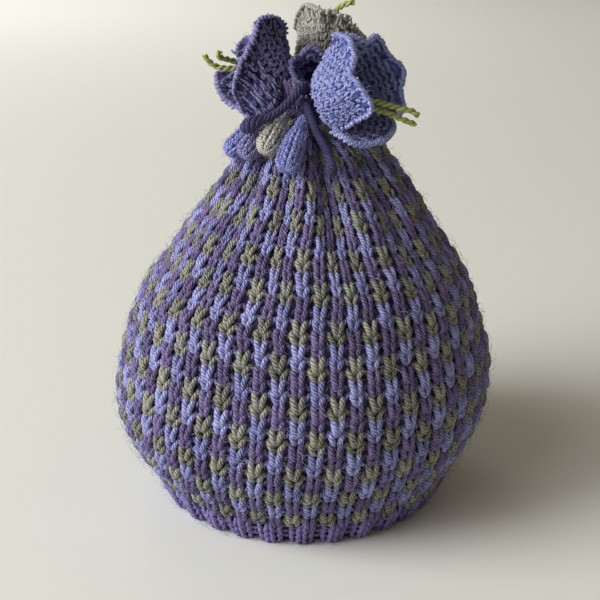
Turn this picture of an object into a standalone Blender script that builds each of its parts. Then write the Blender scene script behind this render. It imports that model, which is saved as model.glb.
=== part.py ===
"""Knitted tea cosy: a hollow knitted bell with two side slits, tied at the neck under four knitted flowers.

Lengths are in millimetres until a mesh is made, which turns them to metres. +Z is up, the hem stands on
z = 0, the spout slit faces -X, the handle slit faces +X and the front is -Y. Angles round the cosy start
at the front and grow towards the handle.
"""
import math

import bmesh
import bpy
from mathutils import Matrix, Vector

MM = 0.001

# The knitted body
PANEL_COLUMNS = 30  # knitted columns in the front, and as many in the back
STEPS_PER_COLUMN = 3  # mesh steps across one raised column
STEPS_PER_LINING = 6  # outer steps that one step of the smooth inner side spans
CLOTH = 5.0  # thickness of the knitted wall
COLUMN_CREST = 1.0  # how far a column stands out of the wall
COLUMN_VALLEY = -1.7  # how far the furrow between two columns lies in it
HEM_CREST = 1.9
HEM_VALLEY = -2.0
HEM_TOP = 12.0  # the ribbed hem ends here in a shallow groove
HEM_GROOVE = 1.0
FULL_PITCH = 6.5  # columns narrower than this stand out less, in proportion
LINING_TOP = 175.0  # the inner side stops at this level, under the tied neck
PLAIN_FROM = 182.0  # from this level up the columns run together in the tied neck
NECK_WAVES = 15
NECK_WAVE = 0.07  # share of the radius
NECK_CENTRE = 192.0  # height of the dimple in the gathered top

# The side slits: bottom, top, half width
SPOUT_SLIT = (18.0, 106.0, 14.0)
HANDLE_SLIT = (18.0, 106.0, 11.0)
SLIT_ROUNDNESS = 0.75  # 1 is a lens with pointed ends, less is fuller

# height, radius on the spout side, radius on the handle side
PROFILE = (
    (0.0, 67.0, 65.5),
    (6.0, 70.5, 69.0),
    (12.0, 73.0, 72.0),
    (18.0, 76.5, 74.5),
    (32.0, 85.5, 82.3),
    (46.0, 90.1, 88.0),
    (60.0, 90.5, 90.0),
    (76.0, 87.6, 89.5),
    (92.0, 82.2, 84.6),
    (99.0, 79.1, 82.4),
    (106.0, 75.4, 79.6),
    (120.0, 64.5, 72.0),
    (134.0, 55.6, 62.6),
    (147.0, 45.8, 55.2),
    (158.0, 37.6, 48.0),
    (167.0, 32.0, 41.6),
    (175.0, 27.3, 35.4),
    (182.0, 19.5, 23.0),
    (187.0, 10.5, 11.0),
    (190.0, 9.5, 9.5),
    (194.0, 10.5, 10.5),
)

# The furrows drawn in by the tie: angle, half width in degrees, depth
FURROWS = (
    (17.0, 8.5, 11.0),
    (-10.0, 5.5, 4.5),
    (-38.0, 7.0, 7.0),
    (-64.0, 8.0, 5.0),
    (49.0, 7.0, 7.0),
    (76.0, 7.0, 5.0),
    (112.0, 8.5, 7.5),
    (146.0, 7.5, 6.0),
    (178.0, 8.5, 8.0),
    (-150.0, 7.0, 6.0),
    (-118.0, 8.5, 7.5),
    (-90.0, 6.0, 4.5),
)
FURROW_START, FURROW_FULL = 118.0, 166.0
FURROW_FADE, FURROW_END = 180.0, 190.0

# The flowers: small knitted bells whose rim rises into petals
FLOWER_CLOTH = 2.4
RIM_STEP = 12.0  # widest step round the mouth, in degrees
RIM_CURL = 1.2
LEAN_FROM = 0.2  # share of the height from which a petal leans out
CURL_FROM = 0.8
LEAN_DROP = 0.12  # how far a petal sinks for each mm it leans out
# share of the cup's length, share of the radius
CUP_PROFILE = (
    (0.00, 0.46),
    (0.08, 0.76),
    (0.22, 0.93),
    (0.42, 0.99),
    (0.62, 1.00),
    (0.82, 1.00),
    (1.00, 1.00),
)
STALK_WIDTHS = ((0.0, 2.0), (0.45, 2.5))  # share of the way from its foot to the flower, radius

# name: foot of the stalk, base, direction, cup length, cup radius, and the rim once round:
# angle, height above the base, how far it leans out
FLOWERS = {
    "flower_purple_left": (
        (-7.2, 1.4, 197.0),
        (-12.6, 2.8, 196.0),
        (-0.60, 0.12, 0.79),
        21.0,
        14.4,
        (
            (-26.0, 25.5, 1.0),
            (-16.0, 28.5, 2.8),
            (-4.0, 29.2, 4.2),
            (8.0, 27.0, 1.2),
            (26.0, 24.8, 0.5),
            (44.0, 23.2, 2.8),
            (56.0, 20.5, 4.8),
            (68.0, 23.2, 5.8),
            (80.0, 27.8, 5.0),
            (93.0, 30.0, 2.8),
            (108.0, 30.8, 1.2),
            (124.0, 28.5, 0.5),
            (140.0, 25.5, 0.5),
            (152.0, 24.0, 1.2),
            (164.0, 22.5, 2.0),
            (175.0, 21.0, 2.4),
            (185.0, 18.8, 4.2),
            (196.0, 16.5, 4.2),
            (208.0, 13.5, 3.5),
            (220.0, 10.5, 3.0),
            (230.0, 9.5, 4.5),
            (242.0, 9.5, 5.2),
            (252.0, 11.5, 6.4),
            (264.0, 16.5, 7.2),
            (276.0, 21.8, 6.5),
            (288.0, 24.0, 5.8),
            (300.0, 23.2, 3.5),
            (312.0, 22.0, 2.0),
            (323.0, 22.5, 0.8),
        ),
    ),
    "flower_lavender_right": (
        (7.9, -7.0, 197.7),
        (9.7, -15.9, 194.7),
        (0.82, -0.37, 0.44),
        25.0,
        16.6,
        (
            (-40.0, 15.8, 0.5),
            (-36.0, 21.0, 1.2),
            (-32.0, 25.5, 2.0),
            (-24.0, 29.2, 2.8),
            (-12.0, 29.2, 2.0),
            (0.0, 29.2, 2.8),
            (12.0, 27.0, 1.2),
            (23.0, 24.8, 0.5),
            (33.0, 26.5, 0.5),
            (45.0, 28.5, 1.5),
            (57.0, 29.0, 3.5),
            (67.0, 27.8, 5.8),
            (75.0, 24.0, 7.4),
            (81.0, 20.5, 7.6),
            (88.0, 21.8, 6.6),
            (95.0, 24.2, 5.0),
            (101.0, 26.2, 3.2),
            (108.0, 27.0, 1.2),
            (116.0, 28.5, 2.0),
            (127.0, 30.0, 4.8),
            (139.0, 30.2, 6.2),
            (151.0, 29.4, 4.6),
            (164.0, 31.5, 2.0),
            (176.0, 33.0, 3.5),
            (188.0, 32.2, 2.0),
            (200.0, 30.0, 0.5),
            (212.0, 28.5, 2.8),
            (224.0, 28.5, 3.5),
            (236.0, 26.2, 2.0),
            (246.0, 24.0, 4.5),
            (254.0, 24.8, 6.0),
            (264.0, 24.8, 7.2),
            (276.0, 22.5, 8.8),
            (288.0, 18.0, 8.8),
            (300.0, 14.2, 8.0),
            (310.0, 12.4, 4.5),
        ),
    ),
    "flower_grey_back": (
        (5.6, 8.0, 196.4),
        (8.2, 17.6, 197.0),
        (0.08, 0.34, 0.94),
        28.0,
        13.0,
        (
            (-4.0, 24.8, 3.5),
            (12.0, 26.2, 2.0),
            (28.0, 27.8, 1.2),
            (39.0, 30.0, 2.0),
            (48.0, 30.6, 1.8),
            (57.0, 31.2, 0.5),
            (68.0, 32.2, -0.6),
            (80.0, 31.5, 0.6),
            (92.0, 32.2, -0.2),
            (108.0, 33.8, -2.0),
            (124.0, 35.0, -2.2),
            (140.0, 34.5, -2.2),
            (156.0, 33.0, -1.8),
            (172.0, 30.0, -1.0),
            (188.0, 28.0, -0.2),
            (204.0, 29.4, -0.2),
            (220.0, 33.0, -0.2),
            (236.0, 35.2, 0.5),
            (252.0, 36.0, 1.6),
            (268.0, 34.8, -0.6),
            (288.0, 33.8, -1.6),
            (308.0, 31.5, -1.6),
            (328.0, 28.5, -0.2),
            (342.0, 25.8, 1.6),
        ),
    ),
    "flower_purple_front": (
        (0.6, -0.6, 196.4),
        (3.9, 5.8, 201.6),
        (0.04, -0.80, 0.60),
        10.2,
        7.9,
        (
            (-18.0, 10.5, 0.0),
            (18.0, 12.0, 1.0),
            (54.0, 10.5, 0.0),
            (90.0, 13.0, 1.0),
            (126.0, 10.5, 0.0),
            (162.0, 12.5, 1.0),
            (198.0, 10.5, 0.0),
            (234.0, 11.5, 0.5),
            (270.0, 10.5, 0.0),
            (306.0, 11.5, 0.5),
        ),
    ),
}

# The buds on short stalks: start, end, radius at the start, radius at the end
BUDS = {
    "bud_grey": ((-8.0, -16.6, 190.6), (-16.9, -33.0, 177.2), 2.0, 4.8),
    "bud_lavender": ((0.2, -18.9, 190.0), (-7.6, -42.2, 171.4), 1.9, 4.8),
    "bud_lavender_left": ((-17.2, -7.0, 187.0), (-34.4, -13.0, 171.4), 2.0, 4.2),
    "bud_purple": ((-13.8, -12.6, 187.4), (-26.6, -26.0, 173.4), 2.0, 4.6),
}
BUD_SIDES = 12

# The tie
TIE_THICKNESS = 4.2
TIE_NECK_GAP = 0.5
TIE_LOOP_SIDES = 40
# Routes of the two loose ends, from the neck out
TIE_LEFT_ROUTE = (
    (0.6, -9.0, 197.6),
    (0.8, -13.0, 202.4),
    (-1.0, -17.0, 202.2),
    (-4.6, -20.6, 198.4),
    (-10.7, -24.0, 193.2),
    (-16.0, -26.0, 190.6),
    (-21.9, -27.0, 189.0),
    (-26.6, -26.6, 185.2),
)
TIE_RIGHT_ROUTE = (
    (-1.6, -11.6, 195.0),
    (-0.4, -16.2, 196.0),
    (2.4, -20.4, 193.2),
    (4.4, -23.0, 188.0),
    (7.0, -27.0, 182.6),
    (11.0, -33.6, 176.2),
    (13.0, -40.4, 168.4),
)
TIE_POINTS = 24
# share of the route, share of the thickness: the knot at the left end and the bobble at the right one
TIE_LEFT_SHAPE = ((0.0, 1.0), (0.76, 1.0), (0.84, 1.7), (0.92, 2.0), (0.975, 1.6), (1.0, 0.6))
TIE_RIGHT_SHAPE = ((0.0, 1.0), (0.80, 0.95), (0.88, 1.3), (0.94, 1.5), (0.98, 1.25), (1.0, 0.6))

# The stamens: thickness and routes, from inside the flower out
STAMEN_THICKNESS = 2.8
STAMENS = {
    "stamen_left_a": (
        (-15.1, 2.8, 200.3),
        (-18.9, 3.0, 200.6),
        (-24.3, 2.0, 204.3),
        (-28.8, 0.5, 208.3),
        (-33.3, -0.5, 208.2),
        (-37.8, -1.0, 208.7),
        (-41.4, -1.5, 210.4),
        (-43.6, -2.0, 212.8),
        (-44.8, -2.5, 214.7),
    ),
    "stamen_left_b": (
        (-13.6, 5.8, 201.9),
        (-19.0, 6.0, 204.4),
        (-24.4, 5.5, 206.9),
        (-28.9, 4.0, 209.7),
        (-33.4, 2.0, 211.7),
        (-36.8, -0.5, 213.0),
        (-38.3, -2.5, 214.2),
        (-37.4, -4.0, 216.7),
    ),
    "stamen_right_a": (
        (18.7, -19.0, 199.2),
        (24.2, -24.0, 199.3),
        (30.2, -29.0, 198.9),
        (36.1, -32.0, 198.0),
        (42.1, -34.0, 196.6),
        (47.3, -34.0, 195.5),
        (50.5, -33.0, 193.1),
    ),
    "stamen_right_b": (
        (19.1, -19.5, 195.7),
        (24.7, -24.5, 195.6),
        (30.2, -29.0, 195.4),
        (36.2, -32.0, 194.5),
        (41.8, -34.0, 192.5),
        (46.2, -34.0, 190.7),
        (49.3, -33.0, 189.4),
    ),
    "stamen_back": (
        (8.6, 19.2, 201.4),
        (10.0, 23.0, 214.0),
        (12.2, 22.8, 224.8),
        (15.0, 19.1, 231.2),
        (18.6, 15.2, 234.6),
        (23.6, 13.0, 236.4),
    ),
}
STAMEN_POINTS = 20


def clear_scene():
    for item in list(bpy.data.objects):
        bpy.data.objects.remove(item, do_unlink=True)


def wool(name, colour):
    material = bpy.data.materials.new(name)
    material.use_nodes = True
    shader = material.node_tree.nodes["Principled BSDF"]
    shader.inputs["Base Color"].default_value = (*colour, 1.0)
    shader.inputs["Roughness"].default_value = 0.9
    shader.inputs["Metallic"].default_value = 0.0
    return material


def ramp(value, low, high):
    share = min(1.0, max(0.0, (value - low) / (high - low)))
    return share * share * (3.0 - 2.0 * share)


def read_table(rows, key, column):
    """The value in a column, straight between the rows that hold the key."""
    for low, high in zip(rows, rows[1:]):
        if key <= high[0]:
            share = max(0.0, (key - low[0]) / (high[0] - low[0]))
            return low[column] + (high[column] - low[column]) * share
    return rows[-1][column]


def add_object(name, mesh, material, sharp_angle=60.0):
    mesh.materials.append(material)
    mesh.shade_smooth()
    mesh.set_sharp_from_angle(angle=math.radians(sharp_angle))
    item = bpy.data.objects.new(name, mesh)
    bpy.context.collection.objects.link(item)
    return item


def finish_mesh(name, work):
    bmesh.ops.recalc_face_normals(work, faces=work.faces[:])
    bmesh.ops.triangulate(work, faces=[face for face in work.faces if len(face.verts) > 4])
    mesh = bpy.data.meshes.new(name)
    work.to_mesh(mesh)
    work.free()
    return mesh


# Body


def slit_half_angle(slit, height):
    """Half the slit's opening at this height, in degrees round the cosy."""
    bottom, top, half_width = slit
    if not bottom < height < top:
        return 0.0
    share = math.sin(math.pi * (height - bottom) / (top - bottom)) ** SLIT_ROUNDNESS
    return math.degrees(math.asin(half_width * share / read_table(PROFILE, height, 1)))


def furrow_depth(angle, height):
    """How far the gathers by the tie draw the cloth in."""
    drawn = ramp(height, FURROW_START, FURROW_FULL) * (1.0 - ramp(height, FURROW_FADE, FURROW_END))
    depth = 0.0
    for centre, half_width, full_depth in FURROWS:
        away = (angle - centre + 180.0) % 360.0 - 180.0
        depth += full_depth * math.exp(-((away / half_width) ** 2))
    return depth * drawn


def wall_radius(angle, height):
    """The wall's plain radius, without columns."""
    share = 0.5 * (1.0 + math.sin(math.radians(angle)))
    spout_side = read_table(PROFILE, height, 1)
    handle_side = read_table(PROFILE, height, 2)
    return spout_side + (handle_side - spout_side) * share - furrow_depth(angle, height)


def column_relief(step, height, radius):
    """How far the knitted columns or the hem's ribs stand out at a step round the panel."""
    if height < HEM_TOP:
        turn = math.tau * step / (2 * STEPS_PER_COLUMN)
        middle = 0.5 * (HEM_CREST + HEM_VALLEY)
        return middle - 0.5 * (HEM_CREST - HEM_VALLEY) * math.cos(turn)
    if height == HEM_TOP:
        return -HEM_GROOVE
    pitch = math.tau * radius / (2 * PANEL_COLUMNS)
    strength = min(1.0, pitch / FULL_PITCH)
    return strength * (COLUMN_VALLEY if step % STEPS_PER_COLUMN == 0 else COLUMN_CREST)


def point_at(angle, radius, height):
    turn = math.radians(angle)
    return Vector((radius * math.sin(turn), -radius * math.cos(turn), height)) * MM


def panel_angles(height):
    """First and last angle of the front and of the back panel at this height."""
    spout = slit_half_angle(SPOUT_SLIT, height)
    handle = slit_half_angle(HANDLE_SLIT, height)
    return (-90.0 + spout, 90.0 - handle), (90.0 + handle, 270.0 - spout)


def panel_ring(work, height, steps, place):
    """Two rows of vertices, front and back, sharing their ends where the slits are closed."""
    rows = []
    for first, last in panel_angles(height):
        rows.append([first + (last - first) * step / steps for step in range(steps + 1)])
    front = [work.verts.new(place(angle, step)) for step, angle in enumerate(rows[0])]
    back = [work.verts.new(place(angle, step)) for step, angle in enumerate(rows[1][1:-1], 1)]
    if slit_half_angle(HANDLE_SLIT, height) == 0.0:
        return [front, [front[-1], *back, front[0]]]
    first = work.verts.new(place(rows[1][0], 0))
    last = work.verts.new(place(rows[1][-1], steps))
    return [front, [first, *back, last]]


def outer_ring(work, height):
    steps = PANEL_COLUMNS * STEPS_PER_COLUMN

    def place(angle, step):
        radius = wall_radius(angle, height)
        return point_at(angle, radius + column_relief(step, height, radius), height)

    return panel_ring(work, height, steps, place)


def inner_ring(work, height):
    steps = PANEL_COLUMNS * STEPS_PER_COLUMN // STEPS_PER_LINING

    def place(angle, step):
        below, above = max(0.0, height - 3.0), height + 3.0
        slope = (wall_radius(angle, above) - wall_radius(angle, below)) / (above - below)
        scale = CLOTH / math.hypot(1.0, slope)
        level = 0.0 if height == 0.0 else height + scale * slope
        return point_at(angle, wall_radius(angle, height) - scale, level)

    return panel_ring(work, height, steps, place)


def neck_ring(work, height):
    ring = []
    for column in range(2 * PANEL_COLUMNS):
        angle = -90.0 + 180.0 * column / PANEL_COLUMNS
        wave = 1.0 + NECK_WAVE * math.cos(math.tau * NECK_WAVES * column / (2 * PANEL_COLUMNS))
        ring.append(work.verts.new(point_at(angle, wall_radius(angle, height) * wave, height)))
    return ring


def bridge(work, low, high):
    for first, second in zip(low, high):
        for step in range(len(first) - 1):
            work.faces.new((first[step], first[step + 1], second[step + 1], second[step]))


def join_coarse(work, fine, coarse):
    """Faces between a finely stepped row and one with fewer steps."""
    per_step = (len(fine) - 1) // (len(coarse) - 1)
    for step in range(len(coarse) - 1):
        run = fine[step * per_step : (step + 1) * per_step + 1]
        work.faces.new((*run, coarse[step + 1], coarse[step]))


def wall_off_slit(work, outer, inner, panel, end):
    """The slit edge of one panel: cloth thickness between the outer and the inner side."""
    for level in range(len(outer) - 1):
        corners = [outer[level][panel][end], outer[level + 1][panel][end]]
        corners += [inner[level + 1][panel][end], inner[level][panel][end]]
        work.faces.new(corners)


def build_body(material):
    work = bmesh.new()
    heights = [row[0] for row in PROFILE]
    outer = [outer_ring(work, height) for height in heights if height <= PLAIN_FROM]
    inner = [inner_ring(work, height) for height in heights if height <= LINING_TOP]
    for rings in (outer, inner):
        for low, high in zip(rings, rings[1:]):
            bridge(work, low, high)
    for panel in range(2):
        join_coarse(work, outer[0][panel], inner[0][panel])

    slit_levels = [i for i, height in enumerate(heights) if SPOUT_SLIT[0] <= height <= SPOUT_SLIT[1]]
    first, last = slit_levels[0], slit_levels[-1] + 1
    for panel in range(2):
        for end in (0, -1):
            wall_off_slit(work, outer[first:last], inner[first:last], panel, end)

    necks = [neck_ring(work, height) for height in heights if height > PLAIN_FROM]
    top_outer = outer[-1][0] + outer[-1][1][1:]
    join_coarse(work, top_outer, [*necks[0], necks[0][0]])
    for low, high in zip(necks, necks[1:]):
        bridge(work, [[*low, low[0]]], [[*high, high[0]]])
    centre = work.verts.new(point_at(0.0, 0.0, NECK_CENTRE))
    rim = [*necks[-1], necks[-1][0]]
    for one, two in zip(rim, rim[1:]):
        work.faces.new((one, two, centre))

    top_inner = inner[-1][0] + inner[-1][1][1:]
    peak = sum((vert.co for vert in top_inner[:-1]), Vector()) / (len(top_inner) - 1)
    lid = work.verts.new(peak)
    for one, two in zip(top_inner, top_inner[1:]):
        work.faces.new((one, two, lid))
    return add_object("cosy_body", finish_mesh("cosy_body", work), material)


# Flowers


def rim_steps(rim):
    """Angle round the mouth, height and lean for each step, straight between the rim's rows."""
    first = rim[0]
    closing = (first[0] + 360.0, *first[1:])
    steps = []
    for start, stop in zip(rim, (*rim[1:], closing)):
        count = math.ceil((stop[0] - start[0]) / RIM_STEP)
        for part in range(count):
            angle, height, lean = (one + (two - one) * part / count for one, two in zip(start, stop))
            steps.append((math.radians(angle), height, lean))
    return steps


def flower_frame(base, direction):
    """Local +Z runs along the flower, +Y lies on its upper side."""
    axis = Vector(direction).normalized()
    side = axis.cross(Vector((0.0, 0.0, 1.0))).normalized()
    upper = side.cross(axis)
    turn = Matrix((side, upper, axis)).transposed().to_4x4()
    return Matrix.Translation(Vector(base) * MM) @ turn


def build_flower(name, material):
    foot, base, direction, cup_length, cup_radius, rim_rows = FLOWERS[name]
    frame = flower_frame(base, direction)
    rim = rim_steps(rim_rows)
    work = bmesh.new()

    def add_ring(radii, centre, heights):
        ring = []
        for (angle, _, _), radius, height in zip(rim, radii, heights):
            spot = Vector((radius * math.cos(angle), radius * math.sin(angle), height))
            ring.append(work.verts.new(spot * MM + centre))
        return [*ring, ring[0]]

    def wall_ring(row, inset):
        share = CUP_PROFILE[row][0]
        radii, heights = [], []
        for _, top, lean in rim:
            width = read_table(CUP_PROFILE, min(1.0, share * top / cup_length), 1)
            leaning = ramp(share, LEAN_FROM, 1.0) * lean + ramp(share, CURL_FROM, 1.0) * RIM_CURL
            radii.append(cup_radius * width + leaning - inset)
            heights.append(inset if row == 0 else share * (top - LEAN_DROP * lean))
        return add_ring(radii, Vector(), heights)

    def close(ring, spot):
        middle = work.verts.new(spot)
        for one, two in zip(ring, ring[1:]):
            work.faces.new((one, two, middle))

    outer = [wall_ring(row, 0.0) for row in range(len(CUP_PROFILE))]
    inner = [wall_ring(row, FLOWER_CLOTH) for row in range(len(CUP_PROFILE))]
    stalk_foot = frame.inverted() @ (Vector(foot) * MM)
    flat = [0.0] * len(rim)
    stalk = []
    for share, width in STALK_WIDTHS:
        stalk.append(add_ring([width] * len(rim), stalk_foot * (1.0 - share), flat))
    close(stalk[0], stalk_foot)
    close(inner[0], (0.0, 0.0, FLOWER_CLOTH * MM))
    for rings in (stalk + outer, inner, [outer[-1], inner[-1]]):
        for low, high in zip(rings, rings[1:]):
            bridge(work, [low], [high])
    work.transform(frame)
    return add_object(name, finish_mesh(name, work), material)


# Buds


def build_bud(name, material):
    start, end, thin, thick = BUDS[name]
    low, high = Vector(start), Vector(end)
    length = (high - low).length
    frame = Matrix.Translation(low * MM) @ (high - low).to_track_quat("Z", "Y").to_matrix().to_4x4()
    work = bmesh.new()
    # distance along, radius
    shape = [(0.0, thin * 0.8), (length * 0.22, thin), (length * 0.5, thick * 0.93), (length - thick, thick)]
    for lift in (30.0, 60.0):
        shape.append((length - thick + thick * math.sin(math.radians(lift)), thick * math.cos(math.radians(lift))))
    rings = []
    for along, radius in shape:
        ring = []
        for side in range(BUD_SIDES):
            angle = math.tau * side / BUD_SIDES
            spot = Vector((radius * math.cos(angle), radius * math.sin(angle), along)) * MM
            ring.append(work.verts.new(spot))
        rings.append([*ring, ring[0]])
    for one, two in zip(rings, rings[1:]):
        bridge(work, [one], [two])
    for ring, along in ((rings[0], 0.0), (rings[-1], length)):
        tip = work.verts.new((0.0, 0.0, along * MM))
        for one, two in zip(ring, ring[1:]):
            work.faces.new((one, two, tip))
    work.transform(frame)
    return add_object(name, finish_mesh(name, work), material, 50.0)


# Cords


def smooth_route(route, count):
    """Evenly spaced points on a smooth curve through the route's own points."""
    points = [Vector(point) for point in route]
    ends = [2 * points[0] - points[1], *points, 2 * points[-1] - points[-2]]
    fine = []
    for i in range(1, len(ends) - 2):
        before, start, stop, after = ends[i - 1 : i + 3]
        for step in range(24):
            t = step / 24
            fine.append(
                0.5
                * (
                    2 * start
                    + (stop - before) * t
                    + (2 * before - 5 * start + 4 * stop - after) * t**2
                    + (3 * start - before - 3 * stop + after) * t**3
                )
            )
    fine.append(points[-1])
    lengths = [0.0]
    for one, two in zip(fine, fine[1:]):
        lengths.append(lengths[-1] + (two - one).length)
    spots = []
    for step in range(count):
        target = lengths[-1] * step / (count - 1)
        i = max(k for k in range(len(fine) - 1) if lengths[k] <= target + 1e-9)
        share = (target - lengths[i]) / (lengths[i + 1] - lengths[i])
        spots.append(fine[i].lerp(fine[i + 1], min(1.0, share)))
    return spots


def build_cord(name, spots, thickness, material, shape=((0.0, 1.0), (1.0, 1.0)), closed=False):
    curve = bpy.data.curves.new(name, "CURVE")
    curve.dimensions = "3D"
    curve.bevel_depth = 0.5 * thickness * MM
    curve.bevel_resolution = 2
    curve.use_fill_caps = not closed
    spline = curve.splines.new("POLY")
    spline.points.add(len(spots) - 1)
    spline.use_cyclic_u = closed
    spline.use_smooth = True
    for i, (point, spot) in enumerate(zip(spline.points, spots)):
        point.co = (*(spot * MM), 1.0)
        point.radius = read_table(shape, i / (len(spots) - 1), 1)
    curve.materials.append(material)
    item = bpy.data.objects.new(name, curve)
    bpy.context.collection.objects.link(item)
    return item


def build_tie(material):
    height = PROFILE[-2][0]
    radius = PROFILE[-2][1] * (1.0 + NECK_WAVE) + TIE_NECK_GAP + 0.5 * TIE_THICKNESS
    loop = []
    for side in range(TIE_LOOP_SIDES):
        angle = math.tau * side / TIE_LOOP_SIDES
        loop.append(Vector((radius * math.sin(angle), -radius * math.cos(angle), height)))
    build_cord("tie_loop", loop, TIE_THICKNESS, material, closed=True)
    left = smooth_route(TIE_LEFT_ROUTE, TIE_POINTS)
    right = smooth_route(TIE_RIGHT_ROUTE, TIE_POINTS)
    build_cord("tie_end_left", left, TIE_THICKNESS, material, TIE_LEFT_SHAPE)
    build_cord("tie_end_right", right, TIE_THICKNESS, material, TIE_RIGHT_SHAPE)


clear_scene()
lavender = wool("lavender_wool", (0.27, 0.28, 0.62))
purple = wool("purple_wool", (0.15, 0.11, 0.30))
dark_purple = wool("dark_purple_wool", (0.055, 0.045, 0.16))
grey = wool("grey_wool", (0.25, 0.25, 0.19))
lime = wool("lime_wool", (0.36, 0.43, 0.08))

build_body(lavender)
build_flower("flower_purple_left", dark_purple)
build_flower("flower_lavender_right", lavender)
build_flower("flower_grey_back", grey)
build_flower("flower_purple_front", dark_purple)
build_bud("bud_grey", grey)
build_bud("bud_lavender", lavender)
build_bud("bud_lavender_left", lavender)
build_bud("bud_purple", purple)
build_tie(purple)
for stamen, stamen_route in STAMENS.items():
    build_cord(stamen, smooth_route(stamen_route, STAMEN_POINTS), STAMEN_THICKNESS, lime)
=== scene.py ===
import math

import bpy
import numpy as np
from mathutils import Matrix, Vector


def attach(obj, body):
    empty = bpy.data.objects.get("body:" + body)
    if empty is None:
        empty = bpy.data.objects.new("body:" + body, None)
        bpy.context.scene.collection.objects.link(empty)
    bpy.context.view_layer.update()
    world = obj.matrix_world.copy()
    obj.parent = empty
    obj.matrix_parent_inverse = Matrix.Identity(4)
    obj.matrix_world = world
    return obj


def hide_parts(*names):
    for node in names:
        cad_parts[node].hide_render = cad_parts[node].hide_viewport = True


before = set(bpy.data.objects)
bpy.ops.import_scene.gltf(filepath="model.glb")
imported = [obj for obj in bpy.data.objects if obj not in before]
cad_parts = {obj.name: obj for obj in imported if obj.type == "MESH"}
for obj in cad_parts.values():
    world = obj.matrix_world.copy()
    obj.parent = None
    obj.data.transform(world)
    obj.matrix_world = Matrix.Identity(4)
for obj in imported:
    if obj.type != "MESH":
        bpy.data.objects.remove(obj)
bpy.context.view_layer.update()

# The camera stands in front of the cosy, a little above it, and looks at the middle of its front.
# Everything below is made in millimetres and turned to metres when a mesh is built.
MM = 0.001

CAMERA_TARGET = Vector((0.0, 0.0, 100.0)) * MM
CAMERA_DISTANCE = 600.0 * MM
CAMERA_ELEVATION = math.radians(20.0)

camera_data = bpy.data.cameras.new("camera")
camera_data.sensor_width = 36.0
camera_data.lens = 73.98
camera_data.shift_x = -0.005
camera_data.shift_y = -0.015
camera = bpy.data.objects.new("camera", camera_data)
bpy.context.collection.objects.link(camera)
back = Vector((0.0, -math.cos(CAMERA_ELEVATION), math.sin(CAMERA_ELEVATION)))
camera.location = CAMERA_TARGET + back * CAMERA_DISTANCE
camera.rotation_euler = (-back).to_track_quat("-Z", "Y").to_euler()
bpy.context.scene.camera = camera

# The stamens are lengths of lime green wool, two plies twisted hard into a thin cord, sewn in at the
# bottom of a flower's cup: two in the left flower, two in the right one and one in the grey one.
STAMEN_THICKNESS = 2.8
STAMEN_PLY = 0.29  # a ply's half thickness, as a share of the cord's thickness
STAMEN_LAY = 0.24  # how far a ply lies from the cord's middle, as a share of its thickness
STAMEN_TWIST = 6.5  # length of one full turn of the plies
STAMEN_POINTS = 72
STAMENS = {
    "stamen_left_a": (
        (-15.1, 2.8, 200.3), (-18.9, 3.0, 200.6), (-24.3, 2.0, 204.3), (-28.8, 0.5, 208.3),
        (-33.3, -0.5, 208.2), (-37.8, -1.0, 208.7), (-41.4, -1.5, 210.4), (-43.6, -2.0, 212.8),
        (-44.8, -2.5, 214.7),
    ),
    "stamen_left_b": (
        (-13.6, 5.8, 201.9), (-19.0, 6.0, 204.4), (-24.4, 5.5, 206.9), (-28.9, 4.0, 209.7),
        (-33.4, 2.0, 211.7), (-36.8, -0.5, 213.0), (-38.3, -2.5, 214.2), (-37.4, -4.0, 216.7),
    ),
    "stamen_right_a": (
        (18.7, -19.0, 199.2), (24.2, -24.0, 199.3), (30.2, -29.0, 198.9), (36.1, -32.0, 198.0),
        (42.1, -34.0, 196.6), (47.3, -34.0, 195.5), (50.5, -33.0, 193.1),
    ),
    "stamen_right_b": (
        (19.1, -19.5, 195.7), (24.7, -24.5, 195.6), (30.2, -29.0, 195.4), (36.2, -32.0, 194.5),
        (41.8, -34.0, 192.5), (46.2, -34.0, 190.7), (49.3, -33.0, 189.4),
    ),
    "stamen_back": (
        (8.6, 19.2, 201.4), (10.0, 23.0, 214.0), (12.2, 22.8, 224.8), (15.0, 19.1, 231.2),
        (18.6, 15.2, 234.6), (23.6, 13.0, 236.4),
    ),
}


def linear(hex_colour):
    """An sRGB hex colour as the linear colour a shader takes."""
    parts = [int(hex_colour[i : i + 2], 16) / 255 for i in (1, 3, 5)]
    return (*(c / 12.92 if c <= 0.04045 else ((c + 0.055) / 1.055) ** 2.4 for c in parts), 1.0)


def add_node(tree, kind, settings=(), links=()):
    """A new node, with its settings or socket values, and what each of its inputs is fed from."""
    new = tree.nodes.new(kind)
    for key, value in dict(settings).items():
        if isinstance(key, str) and hasattr(new, key):
            setattr(new, key, value)
        else:
            new.inputs[key].default_value = value
    for key, source in dict(links).items():
        tree.links.new(source, new.inputs[key])
    return new


def arithmetic(tree, operation, values, sources):
    """The result of one step of arithmetic in a material."""
    return add_node(tree, "ShaderNodeMath", {"operation": operation, **values}, sources).outputs[0]


def new_material(name, values):
    """A material, its node tree, and its shader with these values on its own sockets."""
    material = bpy.data.materials.new(name)
    material.use_nodes = True
    shader = material.node_tree.nodes["Principled BSDF"]
    for socket, value in values.items():
        shader.inputs[socket].default_value = value
    return material, material.node_tree, shader


def colour_between(tree, shader, deep, light, share):
    """The wool's colour, a share of the way from its deep shade to its light one."""
    shades = {"data_type": "RGBA", 6: linear(deep), 7: linear(light)}
    colour = add_node(tree, "ShaderNodeMix", shades, {0: share})
    tree.links.new(colour.outputs[2], shader.inputs["Base Color"])


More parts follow.
